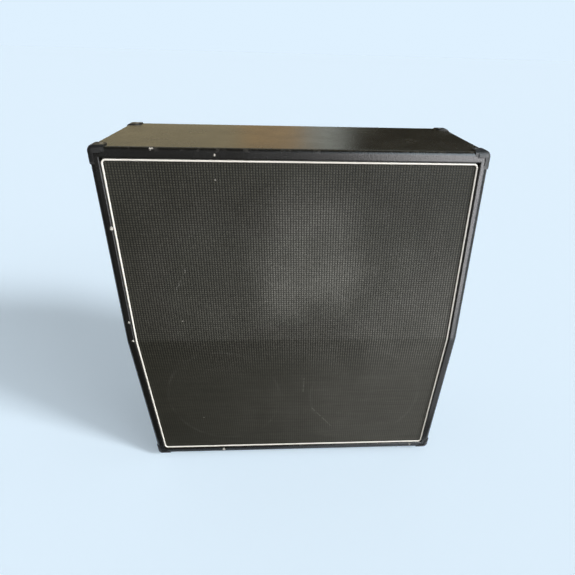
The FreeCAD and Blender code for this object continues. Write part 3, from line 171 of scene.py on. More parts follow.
class Shade:
    """A material in the making, with short calls for the nodes that the finishes use."""

    def __init__(self, name: str) -> None:
        """Start a material.

        Args:
            name: the material's name.
        """
        self.material = bpy.data.materials.new(name)
        self.material.use_nodes = True
        self.nodes = self.material.node_tree.nodes
        self.links = self.material.node_tree.links
        self.shader = self.nodes["Principled BSDF"]
        self.here: Socket = self.nodes.new("ShaderNodeTexCoord").outputs["Object"]

    def put(self, socket: Socket, value: Value) -> None:
        """Link a socket to an input, or set a plain value on it.

        Args:
            socket: the input.
            value: what it gets.
        """
        if isinstance(value, bpy.types.NodeSocket):
            self.links.new(value, socket)
        elif socket.type == "RGBA":
            socket.default_value = (*value, 1.0)
        else:
            socket.default_value = value

    def add(self, kind: str, inputs: dict[Union[str, int], Value], **settings: object) -> bpy.types.Node:
        """Add a node.

        Args:
            kind: the node's type, without its common start.
            inputs: values and links by input.
            **settings: the node's own settings.

        Returns:
            The node.
        """
        node = self.nodes.new("ShaderNode" + kind)
        for name, setting in settings.items():
            setattr(node, name, setting)
        for name, value in inputs.items():
            self.put(node.inputs[name], value)
        return node

    def stretched(self, scale: Point, turn: Point = (0.0, 0.0, 0.0)) -> Socket:
        """Object coordinates, scaled and turned on each axis."""
        return self.add("Mapping", {"Vector": self.here, "Scale": scale, "Rotation": turn}).outputs[0]

    def noise(self, scale: float, detail: float = 3.0, at: Optional[Socket] = None) -> Socket:
        """Cloudy noise from 0 to 1: scale in waves per metre, detail in octaves."""
        inputs = {"Vector": at or self.here, "Scale": scale, "Detail": detail}
        return self.add("TexNoise", inputs).outputs["Fac"]

    def cells(self, scale: float, feature: str = "F1") -> Socket:
        """Cell distances for grain and speckle: scale in cells per metre."""
        inputs = {"Vector": self.here, "Scale": scale}
        return self.add("TexVoronoi", inputs, feature=feature).outputs["Distance"]

    def sum(self, operation: str, a: Value, b: Value = 0.0) -> Socket:
        """One step of arithmetic, by the Math node's word for it."""
        return self.add("Math", {0: a, 1: b}, operation=operation).outputs[0]

    def plus(self, a: Value, b: Value) -> Socket:
        """Both values added."""
        return self.sum("ADD", a, b)

    def less(self, a: Value, b: Value) -> Socket:
        """The first value less the second."""
        return self.sum("SUBTRACT", a, b)

    def times(self, a: Value, b: Value) -> Socket:
        """Both values multiplied."""
        return self.sum("MULTIPLY", a, b)

    def most(self, a: Value, b: Value) -> Socket:
        """The larger value."""
        return self.sum("MAXIMUM", a, b)

    def least(self, a: Value, b: Value) -> Socket:
        """The smaller value."""
        return self.sum("MINIMUM", a, b)

    def size(self, a: Value) -> Socket:
        """The value without its sign."""
        return self.sum("ABSOLUTE", a)

    def vector(self, operation: str, a: Value, b: Value) -> Socket:
        """One step of arithmetic with vectors that gives a vector."""
        return self.add("VectorMath", {0: a, 1: b}, operation=operation).outputs["Vector"]

    def measure(self, operation: str, a: Value, b: Value) -> Socket:
        """One step of arithmetic with vectors that gives a number."""
        return self.add("VectorMath", {0: a, 1: b}, operation=operation).outputs["Value"]

    def span(self, value: Value, low: float, high: float, start: float = 0.0, end: float = 1.0) -> Socket:
        """A soft step: start where the value is low, end where it is high."""
        inputs = {"Value": value, "From Min": low, "From Max": high, "To Min": start, "To Max": end}
        return self.add("MapRange", inputs, interpolation_type="SMOOTHSTEP").outputs[0]

    def mix(self, share: Value, a: Value, b: Value) -> Socket:
        """A mix of two colours: share is how much of the second one."""
        return self.add("Mix", {0: share, 6: a, 7: b}, data_type="RGBA").outputs[2]

    def bump(self, height: Socket, depth: float, under: Optional[Socket] = None) -> Socket:
        """Relief on the surface.

        Args:
            height: the height, from 0 to 1.
            depth: the depth of that height in metres.
            under: relief that this one lies on.

        Returns:
            The normal.
        """
        node = self.add("Bump", {"Height": height, "Distance": depth})
        if under is not None:
            self.links.new(under, node.inputs["Normal"])
        return node.outputs["Normal"]

    def parts(self, vector: Socket) -> tuple[Socket, Socket, Socket]:
        """The three parts of a vector."""
        return tuple(self.add("SeparateXYZ", {0: vector}).outputs)

    def away(self, point: Point, at: Optional[Socket] = None) -> Socket:
        """The distance from a point."""
        return self.measure("DISTANCE", at or self.here, point)

    def upward(self) -> Socket:
        """How far the surface looks up, from -1 to 1."""
        return self.parts(self.add("TexCoord", {}).outputs["Normal"])[Axis.Z.value]

    def wear(self, **inputs: Value) -> None:
        """Set the surface's own inputs, by name with underscores for spaces."""
        for name, value in inputs.items():
            self.put(self.shader.inputs[name.replace("_", " ")], value)


MATERIALS: dict["Finish", bpy.types.Material] = {}


class Finish:
    """What a surface is made of. Each finish makes its material once."""

    name: str

    def material(self) -> bpy.types.Material:
        """Make the material, or give the one already made.

        Returns:
            The material.
        """
        if self not in MATERIALS:
            shade = Shade(self.name)
            self.lay(shade)
            MATERIALS[self] = shade.material
        return MATERIALS[self]

    def lay(self, shade: Shade) -> None:
        """Build the finish's nodes; each finish has its own."""
        raise NotImplementedError

    def dress(self, piece: bpy.types.Object) -> bpy.types.Object:
        """Give the finish to a piece.

        Args:
            piece: the piece.

        Returns:
            The same piece.
        """
        piece.data.materials.clear()
        piece.data.materials.append(self.material())
        return piece


@dataclass(frozen=True)
class Vinyl(Finish):
    """Black grained covering: warm dust and a painted warm sheen on what looks up, scuffed edges and a few
    chips.
    """

    name: str = "black_vinyl"
    black: Colour = (0.0066, 0.0065, 0.0062)
    scuff: Colour = (0.060, 0.057, 0.052)
    # Warm brown on what looks up: dust, and also a painted warm sheen on the top.
    dust: Colour = (0.158, 0.139, 0.084)
    chip: Colour = (0.560, 0.535, 0.480)
    grain: float = 520.0
    edge: float = 0.011
    mouth_side: float = 0.365
    mouth_low: float = 0.035
    mouth_high: float = 0.750
    mouth_round: float = 0.0020
    mouth_reach: float = 0.96
    grain_depth: float = 0.00016
    chip_depth: float = 0.0006
    scuff_share: float = 0.6
    dust_and_painted_sheen_share: tuple[float, float] = (0.16, 0.24)
    gloss: tuple[float, float] = (0.20, 0.29)
    chips: tuple[tuple[Point, float], ...] = ()

    def turned_in(self, shade: Shade) -> Socket:
        """The rounding where the covering turns into the openings.

        Args:
            shade: the material.

        Returns:
            The height, 1 on the flat and less towards the opening.
        """
        x, _, z = shade.parts(shade.here)
        across = shade.less(shade.size(x), self.mouth_side)
        above = shade.less(z, self.mouth_high)
        below = shade.less(self.mouth_low, z)
        off = shade.most(across, shade.most(above, below))
        outside = shade.times(off, 1.0 / self.mouth_round)
        inside = shade.most(shade.less(1.0, outside), 0.0)
        reach = shade.least(inside, self.mouth_reach)
        return shade.sum("SQRT", shade.less(1.0, shade.times(reach, reach)))

    def edges(self, shade: Shade) -> Socket:
        """How near the surface is to an edge of the box.

        Args:
            shade: the material.

        Returns:
            1 on a face, 2 on an edge, 3 at a corner.
        """
        x, y, z = shade.parts(shade.here)
        lower = shade.plus(y, -BOX.front)
        lean = shade.times(shade.plus(z, -BOX.bend), math.sin(BOX.slant))
        upper = shade.less(shade.times(lower, math.cos(BOX.slant)), lean)
        near = [
            shade.span(shade.size(x), BOX.side - self.edge, BOX.side),
            shade.span(z, BOX.top - self.edge, BOX.top),
            shade.span(z, BOX.base + self.edge, BOX.base),
            shade.span(shade.least(lower, upper), self.edge, 0.0),
            shade.span(y, BOX.rear - self.edge, BOX.rear),
        ]
        total = near[0]
        for part in near[1:]:
            total = shade.plus(total, part)
        return total

    def chipped(self, shade: Shade) -> Optional[Socket]:
        """Where the covering is chipped to its pale backing.

        Args:
            shade: the material.

        Returns:
            1 in a chip and 0 elsewhere, or nothing where there are no chips.
        """
        if not self.chips:
            return None
        noise = shade.noise(700.0, 2.0)
        found = None
        for point, radius in self.chips:
            ragged = shade.span(noise, 0.3, 0.7, -radius / 2, radius / 2)
            away = shade.plus(shade.away(point), ragged)
            inside = shade.span(away, radius, radius * 0.7)
            found = inside if found is None else shade.most(found, inside)
        return found

    def lay(self, shade: Shade) -> None:
        """Build the covering's nodes.

        Args:
            shade: the material.
        """
        cloudy = shade.noise(9.0, 5.0)
        pebble = shade.cells(self.grain, feature="SMOOTH_F1")
        crease = shade.cells(self.grain / 2.6, feature="DISTANCE_TO_EDGE")
        height = shade.plus(pebble, shade.span(crease, 0.0, 0.12, -0.4, 0.0))
        normal = shade.bump(height, self.grain_depth, shade.bump(self.turned_in(shade), self.mouth_round))
        rubbed = shade.span(shade.noise(60.0, 6.0), 0.50, 0.66)
        worn = shade.times(shade.span(self.edges(shade), 1.25, 1.95), rubbed)
        colour = shade.mix(shade.times(worn, self.scuff_share), self.black, self.scuff)
        # Dust on what looks up, whose warm colour also stands in for a warm sheen on the top: dust and
        # painted sheen.
        uneven = shade.span(shade.noise(160.0, 4.0), 0.3, 0.7, 0.8, 1.2)
        thin = shade.times(shade.span(cloudy, 0.3, 0.75, *self.dust_and_painted_sheen_share), uneven)
        dust_and_painted_light = shade.times(shade.span(shade.upward(), 0.75, 0.97), thin)
        colour = shade.mix(dust_and_painted_light, colour, self.dust)
        rough = shade.span(cloudy, 0.25, 0.75, *self.gloss)
        chipped = self.chipped(shade)
        if chipped is not None:
            colour = shade.mix(chipped, colour, self.chip)
            normal = shade.bump(shade.less(1.0, chipped), self.chip_depth, normal)
        shade.wear(Base_Color=colour, Roughness=rough, Normal=normal)


@dataclass(frozen=True)
class Weave(Finish):
    """Dark woven grille cloth: ribs crossed by finer threads with painted shade between them, old dust,
    lighter patches partly of painted light, rub marks and rims of the holes.
    """

    name: str = "grille_weave"
    thread: Colour = (0.0316, 0.0306, 0.0203)
    # Darker between the threads: painted shade in the gaps of the weave.
    gap_shade: Colour = (0.0052, 0.0050, 0.0035)
    # The colour of dust and rub marks; on the lighter patches at the right and low down it is painted
    # light.
    dust: Colour = (0.212, 0.210, 0.190)
    lint: Colour = (0.188, 0.180, 0.160)
    # Below the bend the cloth is drawn tight: between the heights of fade its relief is levelled out,
    # so far as tight says, to a height of level that changes along streaks.
    tight: float = 0.78
    level: tuple[float, float] = (0.30, 0.44)
    fade: tuple[float, float] = (0.390, 0.250)
    streak: Point = (0.05, 1.0, 1.0)
    # The share of the dust that lies in the gaps between the threads.
    bare: float = 0.18
    thin_dust: tuple[float, float] = (0.03, 0.09)
    rim_dust: float = 0.090
    hole_dust: float = 0.012
    mark_dust: float = 0.45
    relief: float = 0.0003
    roughness: float = 0.56
    shine: float = 0.15
    sheen: float = 0.015
    holes: tuple[tuple[float, float], ...] = ()
    specks: tuple[tuple[Point, float], ...] = ()
    # Lighter patches, each a middle, reach and strength: haze above the bend, and painted light at the
    # right and low down.
    haze_and_painted_light: tuple[tuple[Point, float, float], ...] = ()
    scuffs: tuple[tuple[Point, Point, float], ...] = ()

    def threads(self, shade: Shade) -> Socket:
        """The crossing threads.

        Args:
            shade: the material.

        Returns:
            The height of the weave, from 0 to about 1.
        """
        uv = shade.add("UVMap", {}, uv_map="threads").outputs["UV"]
        across, along, _ = shade.parts(uv)
        rib = shade.size(shade.sum("COSINE", shade.times(across, math.pi)))
        weft = shade.size(shade.sum("COSINE", shade.times(along, math.pi)))
        raised = shade.times(shade.span(rib, 0.25, 0.90), shade.span(weft, 0.15, 0.90, 0.20, 1.0))
        uneven = shade.span(shade.noise(0.55, 3.0, uv), 0.30, 0.70, 0.72, 1.12)
        height = shade.times(raised, uneven)
        tight = shade.span(shade.parts(shade.here)[Axis.Z.value], *self.fade, 0.0, self.tight)
        streaks = shade.vector("MULTIPLY", uv, self.streak)
        level = shade.span(shade.noise(0.80, 2.0, streaks), 0.30, 0.70, *self.level)
        return shade.plus(height, shade.times(tight, shade.less(level, height)))

    def rims(self, shade: Shade) -> Socket:
        """Dust where the cloth has rubbed on the rim of a speaker's hole.

        Args:
            shade: the material.

        Returns:
            The share of dust.
        """
        place = shade.add("UVMap", {}, uv_map="cloth").outputs["UV"]
        nearest = shade.away((*self.holes[0], 0.0), place)
        for across, along in self.holes[1:]:
            nearest = shade.least(nearest, shade.away((across, along, 0.0), place))
        off = shade.size(shade.less(nearest, BOX.hole))
        patchy = shade.span(shade.noise(16.0, 4.0), 0.42, 0.68, 0.0, self.rim_dust)
        inside = shade.span(nearest, BOX.hole + 0.002, BOX.hole - 0.002, 0.0, self.hole_dust)
        return shade.plus(shade.times(shade.span(off, 0.005, 0.001), patchy), inside)

    def dust_and_painted_light(self, shade: Shade) -> Socket:
        """Thin dust all over the sloping part, and lighter patches: haze above the bend, and painted light
        from the right in the patches at the right and the broad ones low down.

        Args:
            shade: the material.

        Returns:
            The share of the dust colour, for dust and painted light.
        """
        thin = shade.span(shade.noise(9.0, 4.0), 0.32, 0.72, *self.thin_dust)
        total = shade.times(shade.span(shade.upward(), 0.04, 0.15), thin)
        ragged = shade.span(shade.noise(14.0, 2.0), 0.3, 0.7, -0.07, 0.07)
        for middle, reach, strength in self.haze_and_painted_light:
            away = shade.plus(shade.times(shade.away(middle), 1.0 / reach), ragged)
            total = shade.plus(total, shade.span(away, 1.15, 0.15, 0.0, strength))
        return total

    def scuffed(self, shade: Shade) -> Socket:
        """Pale rub marks.

        Args:
            shade: the material.

        Returns:
            The share of dust.
        """
        broken = shade.span(shade.noise(130.0, 3.0), 0.42, 0.62, 0.0, self.mark_dust)
        found = None
        for start, end, width in self.scuffs:
            way = Vector(end) - Vector(start)
            step = shade.vector("SUBTRACT", shade.here, start)
            reach = shade.measure("DOT_PRODUCT", step, tuple(way / way.length_squared))
            share = shade.least(shade.most(reach, 0.0), 1.0)
            foot = shade.add("VectorMath", {0: tuple(way), "Scale": share}, operation="SCALE").outputs[0]
            mark = shade.span(shade.measure("DISTANCE", step, foot), width, 0.0)
            found = mark if found is None else shade.most(found, mark)
        return shade.times(found, broken)

    def lay(self, shade: Shade) -> None:
        """Build the cloth's nodes.

        Args:
            shade: the material.
        """
        height = self.threads(shade)
        # The colour falls from the threads' to the gaps' with the height of the weave: painted shade
        # between the threads.
        colour = shade.mix(height, self.gap_shade, self.thread)
        # Dust, rub marks, rims and the lighter patches all take the dust colour; the patches at the right
        # and low down are painted light.
        dust_marks_and_painted_light = shade.plus(self.dust_and_painted_light(shade), self.rims(shade))
        dust_marks_and_painted_light = shade.plus(dust_marks_and_painted_light, self.scuffed(shade))
        caught = shade.plus(shade.times(height, 1.0 - self.bare), self.bare)
        colour = shade.mix(shade.times(dust_marks_and_painted_light, caught), colour, self.dust)
        for point, radius in self.specks:
            colour = shade.mix(shade.span(shade.away(point), radius, radius * 0.4), colour, self.lint)
        shade.wear(Base_Color=colour, Roughness=self.roughness, Normal=shade.bump(height, self.relief))
        shade.wear(Specular_IOR_Level=self.shine, Sheen_Weight=self.sheen, Sheen_Roughness=0.5)


@dataclass(frozen=True)
class Bead(Finish):
    """Off-white piping with grime in it."""

    name: str = "white_bead"
    white: Colour = (0.860, 0.835, 0.770)
    grime: Colour = (0.250, 0.210, 0.140)
    patch_share: float = 0.25
    speck_share: float = 0.35
    gloss: tuple[float, float] = (0.20, 0.45)
    depth: float = 0.00006

    def lay(self, shade: Shade) -> None:
        """Build the bead's nodes.

        Args:
            shade: the material.
        """
        patches = shade.span(shade.noise(38.0, 6.0), 0.55, 0.80)
        fine = shade.span(shade.noise(420.0, 4.0), 0.60, 0.80, 0.0, self.speck_share)
        grimy = shade.most(shade.times(patches, self.patch_share), fine)
        rough = shade.span(patches, 0.0, 1.0, *self.gloss)
        normal = shade.bump(shade.noise(650.0, 3.0), self.depth)
        shade.wear(Base_Color=shade.mix(grimy, self.white, self.grime), Roughness=rough, Normal=normal)


@dataclass(frozen=True)
class Moulded(Finish):
    """Moulded plastic or rubber: fine texture, cloudy gloss and rubbed spots."""

    name: str
    colour: Colour
    rubbed: Colour
    roughness: float = 0.45
    texture: float = 1400.0
    depth: float = 0.00010
    wear_share: float = 0.35
    uneven: float = 0.08
    scratch_depth: float = 0.00012

    def lay(self, shade: Shade) -> None:
        """Build the plastic's nodes.

        Args:
            shade: the material.
        """
        cloudy = shade.noise(28.0, 5.0)
        fine = shade.cells(self.texture, feature="SMOOTH_F1")
        scratch = shade.noise(34.0, 6.0, shade.stretched((1.0, 7.0, 1.0), (0.4, 0.3, 0.9)))
        rubbed = shade.span(shade.times(scratch, cloudy), 0.27, 0.40, 0.0, self.wear_share)
        rough = shade.span(cloudy, 0.25, 0.75, self.roughness - self.uneven, self.roughness + self.uneven)
        normal = shade.bump(scratch, self.scratch_depth, shade.bump(fine, self.depth))
        shade.wear(Base_Color=shade.mix(rubbed, self.colour, self.rubbed), Roughness=rough, Normal=normal)


@dataclass(frozen=True)
class Metal(Finish):
    """Plated, painted or bare metal with a brushed grain and dull spots."""

    name: str
    colour: Colour
    dull: Colour
    roughness: float = 0.30
    metallic: float = 1.0
    brushed: float = 900.0
    depth: float = 0.00004
    dull_share: float = 0.6
    uneven: float = 0.06
    dull_roughness: float = 0.65

    def lay(self, shade: Shade) -> None:
        """Build the metal's nodes.

        Args:
            shade: the material.
        """
        lines = shade.noise(self.brushed, 3.0, shade.stretched((0.05, 1.0, 1.0)))
        spots = shade.span(shade.noise(85.0, 6.0), 0.50, 0.74, 0.0, self.dull_share)
        streaky = shade.span(lines, 0.2, 0.8, -self.uneven, self.uneven)
        rough = shade.plus(streaky, shade.span(spots, 0.0, 1.0, self.roughness, self.dull_roughness))
        shade.wear(Base_Color=shade.mix(spots, self.colour, self.dull), Roughness=rough)
        shade.wear(Metallic=self.metallic, Normal=shade.bump(lines, self.depth))


@dataclass(frozen=True)
class Timber(Finish):
    """Board or batten: long grain, pores, and glued plies on the edges of a board."""

    name: str
    pale: Colour
    dark: Colour
    along: Axis
    through: Axis
    ply: float = 0.003
    stretch: float = 0.05
    pore_share: float = 0.5
    ply_share: float = 0.45
    depth: float = 0.0002

    def lay(self, shade: Shade) -> None:
        """Build the wood's nodes.

        Args:
            shade: the material.
        """
        scale = [1.0, 1.0, 1.0]
        scale[self.along.value] = self.stretch
        drawn = shade.stretched(tuple(scale))
        rings = shade.noise(42.0, 4.0, drawn)
        pores = shade.noise(700.0, 2.0, drawn)
        colour = shade.mix(shade.span(rings, 0.30, 0.70), self.pale, self.dark)
        colour = shade.mix(shade.span(pores, 0.55, 0.75, 0.0, self.pore_share), colour, self.dark)
        height = pores
        if self.ply > 0.0:
            depth = shade.parts(shade.here)[self.through.value]
            layer = shade.sum("SINE", shade.times(depth, math.pi / self.ply))
            colour = shade.mix(shade.span(layer, -0.3, 0.3, 0.0, self.ply_share), colour, self.dark)
            height = shade.plus(pores, shade.times(layer, 0.2))
        rough = shade.span(rings, 0.2, 0.8, 0.55, 0.75)
        shade.wear(Base_Color=colour, Roughness=rough, Normal=shade.bump(height, self.depth))


@dataclass(frozen=True)
class Fibre(Finish):
    """Paper, cork, board or doped cloth: matted fibres and flecks, with pressed rings where it has them."""

    name: str
    colour: Colour
    fleck: Colour
    fibres: float = 900.0
    depth: float = 0.00020
    roughness: float = 0.85
    ring_centre: Optional[Point] = None
    ring_pitch: float = 0.009
    ring_depth: float = 0.0004
    uneven: float = 0.06

    def lay(self, shade: Shade) -> None:
        """Build the fibres' nodes.

        Args:
            shade: the material.
        """
        matted = shade.noise(self.fibres, 5.0, shade.stretched((1.0, 0.4, 0.7), (0.5, 0.2, 0.7)))
        flecks = shade.span(shade.cells(self.fibres / 3.0), 0.30, 0.12, 0.0, 0.6)
        cloudy = shade.span(shade.noise(20.0, 4.0), 0.3, 0.8, 0.0, 0.35)
        colour = shade.mix(shade.most(flecks, cloudy), self.colour, self.fleck)
        normal = shade.bump(matted, self.depth)
        if self.ring_centre is not None:
            turn = shade.times(shade.away(self.ring_centre), 2.0 * math.pi / self.ring_pitch)
            normal = shade.bump(shade.sum("SINE", turn), self.ring_depth, normal)
        rough = shade.span(matted, 0.2, 0.8, self.roughness - self.uneven, self.roughness + self.uneven)
        shade.wear(Base_Color=colour, Roughness=rough, Normal=normal)


@dataclass(frozen=True)
class Winding(Finish):
    """Turns of lacquered copper wire on a paper former."""

    name: str
    axis: Point
    copper: Colour = (0.700, 0.300, 0.130)
    lacquer: Colour = (0.320, 0.100, 0.040)
    wire: float = 0.0008
    depth: float = 0.0003

    def lay(self, shade: Shade) -> None:
        """Build the winding's nodes.

        Args:
            shade: the material.
        """
        along = shade.measure("DOT_PRODUCT", shade.here, self.axis)
        turns = shade.size(shade.sum("SINE", shade.times(along, math.pi / self.wire)))
        spots = shade.span(shade.noise(120.0, 4.0), 0.45, 0.75)
        shade.wear(Base_Color=shade.mix(spots, self.copper, self.lacquer), Metallic=1.0)
        shade.wear(Roughness=shade.span(spots, 0.0, 1.0, 0.28, 0.45), Normal=shade.bump(turns, self.depth))


BLACK_PLASTIC = Moulded("corner_plastic", (0.0080, 0.0080, 0.0080), (0.040, 0.039, 0.037), 0.46)
HANDLE_PLASTIC = Moulded(
    "handle_plastic", (0.013, 0.013, 0.0135), (0.055, 0.054, 0.052), 0.50, 900.0, 0.00018)
KNOB_PLASTIC = Moulded("knob_plastic", (0.420, 0.405, 0.360), (0.280, 0.265, 0.230), 0.38)
JACK_PLASTIC = Moulded("jack_plastic", (0.020, 0.020, 0.021), (0.070, 0.070, 0.070), 0.35)
RUBBER = Moulded("foot_rubber", (0.022, 0.021, 0.020), (0.080, 0.074, 0.066), 0.72, 600.0, 0.00022, 0.6)
LEAD_SLEEVE = Moulded("lead_insulation", (0.025, 0.025, 0.026), (0.080, 0.080, 0.080), 0.48)
BLACK_SCREW = Metal("black_screw", (0.090, 0.088, 0.085), (0.320, 0.290, 0.240), 0.40, 0.9, 700.0)
WORN_SCREW = Metal("worn_screw", (0.640, 0.610, 0.550), (0.420, 0.370, 0.300), 0.35, 1.0, 700.0)
PLATED = Metal("plated_steel", (0.620, 0.610, 0.580), (0.330, 0.280, 0.200), 0.28)
CHROME = Metal("nut_chrome", (0.780, 0.780, 0.770), (0.480, 0.460, 0.420), 0.15)
PLATE_PAINT = Metal(
    "plate_paint", (0.042, 0.042, 0.043), (0.120, 0.118, 0.112), 0.38, 0.0, 400.0, 0.00008, 0.45)
FRAME_PAINT = Metal("frame_paint", (0.055, 0.056, 0.058), (0.150, 0.145, 0.135), 0.45, 0.2, 300.0, 0.00008)
FERRITE = Fibre("ferrite", (0.055, 0.054, 0.053), (0.110, 0.108, 0.105), 500.0, 0.00012, 0.60)
DOPED_CLOTH = Fibre("treated_cloth", (0.030, 0.024, 0.016), (0.085, 0.065, 0.035), 1500.0, 0.00025, 0.55)
CORK = Fibre("gasket_cork", (0.230, 0.140, 0.070), (0.090, 0.050, 0.025), 400.0, 0.00040, 0.90)
BROWN_BOARD = Fibre("terminal_brown", (0.180, 0.090, 0.035), (0.090, 0.042, 0.018), 1100.0, 0.00010, 0.50)


def node(name: str) -> bpy.types.Object:
    """The object of a part of the frame."""
    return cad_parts[name]


def new_piece(name: str, form: bmesh.types.BMesh, finish: Finish) -> bpy.types.Object:
    """A finished mesh as an object at the origin.

    Args:
        name: the piece's name.
        form: its shape, which is freed.
        finish: its finish.

    Returns:
        The object.
    """
    mesh = bpy.data.meshes.new(name)
    form.to_mesh(mesh)
    form.free()
    piece = bpy.data.objects.new(name, mesh)
    bpy.context.scene.collection.objects.link(piece)
    return finish.dress(piece)


class Assembly:
    """A sub-assembly: parts of the frame that get a finish, and pieces of its own."""

    def finishes(self) -> dict[str, Finish]:
        """The finish of each of the frame's parts that it dresses."""
        return {}

    def pieces(self) -> Iterator[bpy.types.Object]:
        """The pieces that it makes itself."""
        return iter(())

    def build(self) -> None:
        """Dress the frame's parts, make the pieces and report them."""
        for name, finish in self.finishes().items():
            finish.dress(node(name))
            LOG.info("%s: %s has the finish %s", type(self).__name__, name, finish.name)
        for piece in self.pieces():
            LOG.info("%s: made %s with %d faces", type(self).__name__, piece.name, self.faces(piece))

    @staticmethod
    def faces(piece: bpy.types.Object) -> int:
        """The number of faces of a piece, or of points along a curve."""
        return len(piece.data.polygons) if piece.type == "MESH" else len(piece.data.splines[0].points)


@dataclass
class Woodwork(Assembly):
    """The box's panels, the boards and strips inside it and the back panel."""

    birch: Colour = (0.560, 0.400, 0.240)
    birch_dark: Colour = (0.330, 0.200, 0.100)
    pine: Colour = (0.620, 0.450, 0.260)
    pine_dark: Colour = (0.400, 0.240, 0.110)
    stain: Colour = (0.020, 0.019, 0.018)
    stain_dark: Colour = (0.045, 0.040, 0.034)

    def board(self, name: str, along: Axis, through: Axis) -> Timber:
        """Birch ply whose grain runs one way and whose plies lie across another."""
        return Timber(name, self.birch, self.birch_dark, along, through)

    def finishes(self) -> dict[str, Finish]:
        """The finish of each board and strip.

        Returns:
            Finishes by the frame's parts.
        """
        level = self.board("ply_level", Axis.X, Axis.Z)
        upright = self.board("ply_upright", Axis.Z, Axis.X)
        back = self.board("ply_back", Axis.X, Axis.Y)
        stained = Timber("ply_stained", self.stain, self.stain_dark, Axis.X, Axis.Y)
        across = Timber("pine_across", self.pine, self.pine_dark, Axis.X, Axis.Y, 0.0)
        post = Timber("pine_post", self.pine, self.pine_dark, Axis.Y, Axis.X, 0.0)
        strips = Timber("pine_strips", self.pine, self.pine_dark, Axis.Z, Axis.X, 0.0)
        return {
            "top_panel": level,
            "bottom_panel": level,
            "left_side_panel": upright,
            "right_side_panel": upright,
            "back_panel": back,
            "lower_baffle": stained,
            "upper_baffle": stained,
            "back_battens": strips,
            "baffle_battens": strips,
            "bend_rail": across,
            "centre_post": post,
        }


@dataclass
class Covering(Assembly):
    """The vinyl around the box and on the back panel."""

    chips: tuple[tuple[Point, float], ...] = (
        ((-0.2690, -0.1122, 0.7672), 0.0026),
        ((-0.2655, -0.1120, 0.7676), 0.0021),
        ((-0.1502, -0.1167, 0.7587), 0.0021),
        ((-0.3674, -0.1413, 0.6292), 0.0036),
        ((-0.3697, -0.1784, 0.4348), 0.0022),
        ((-0.3683, -0.1875, 0.3913), 0.0026),
        ((-0.2016, -0.1870, 0.0270), 0.0044),
        ((0.3329, -0.1868, 0.0290), 0.0028),
    )

    def finishes(self) -> dict[str, Finish]:
        """The finish of both coverings."""
        return {"shell_covering": Vinyl(chips=self.chips), "back_covering": Vinyl("back_vinyl")}


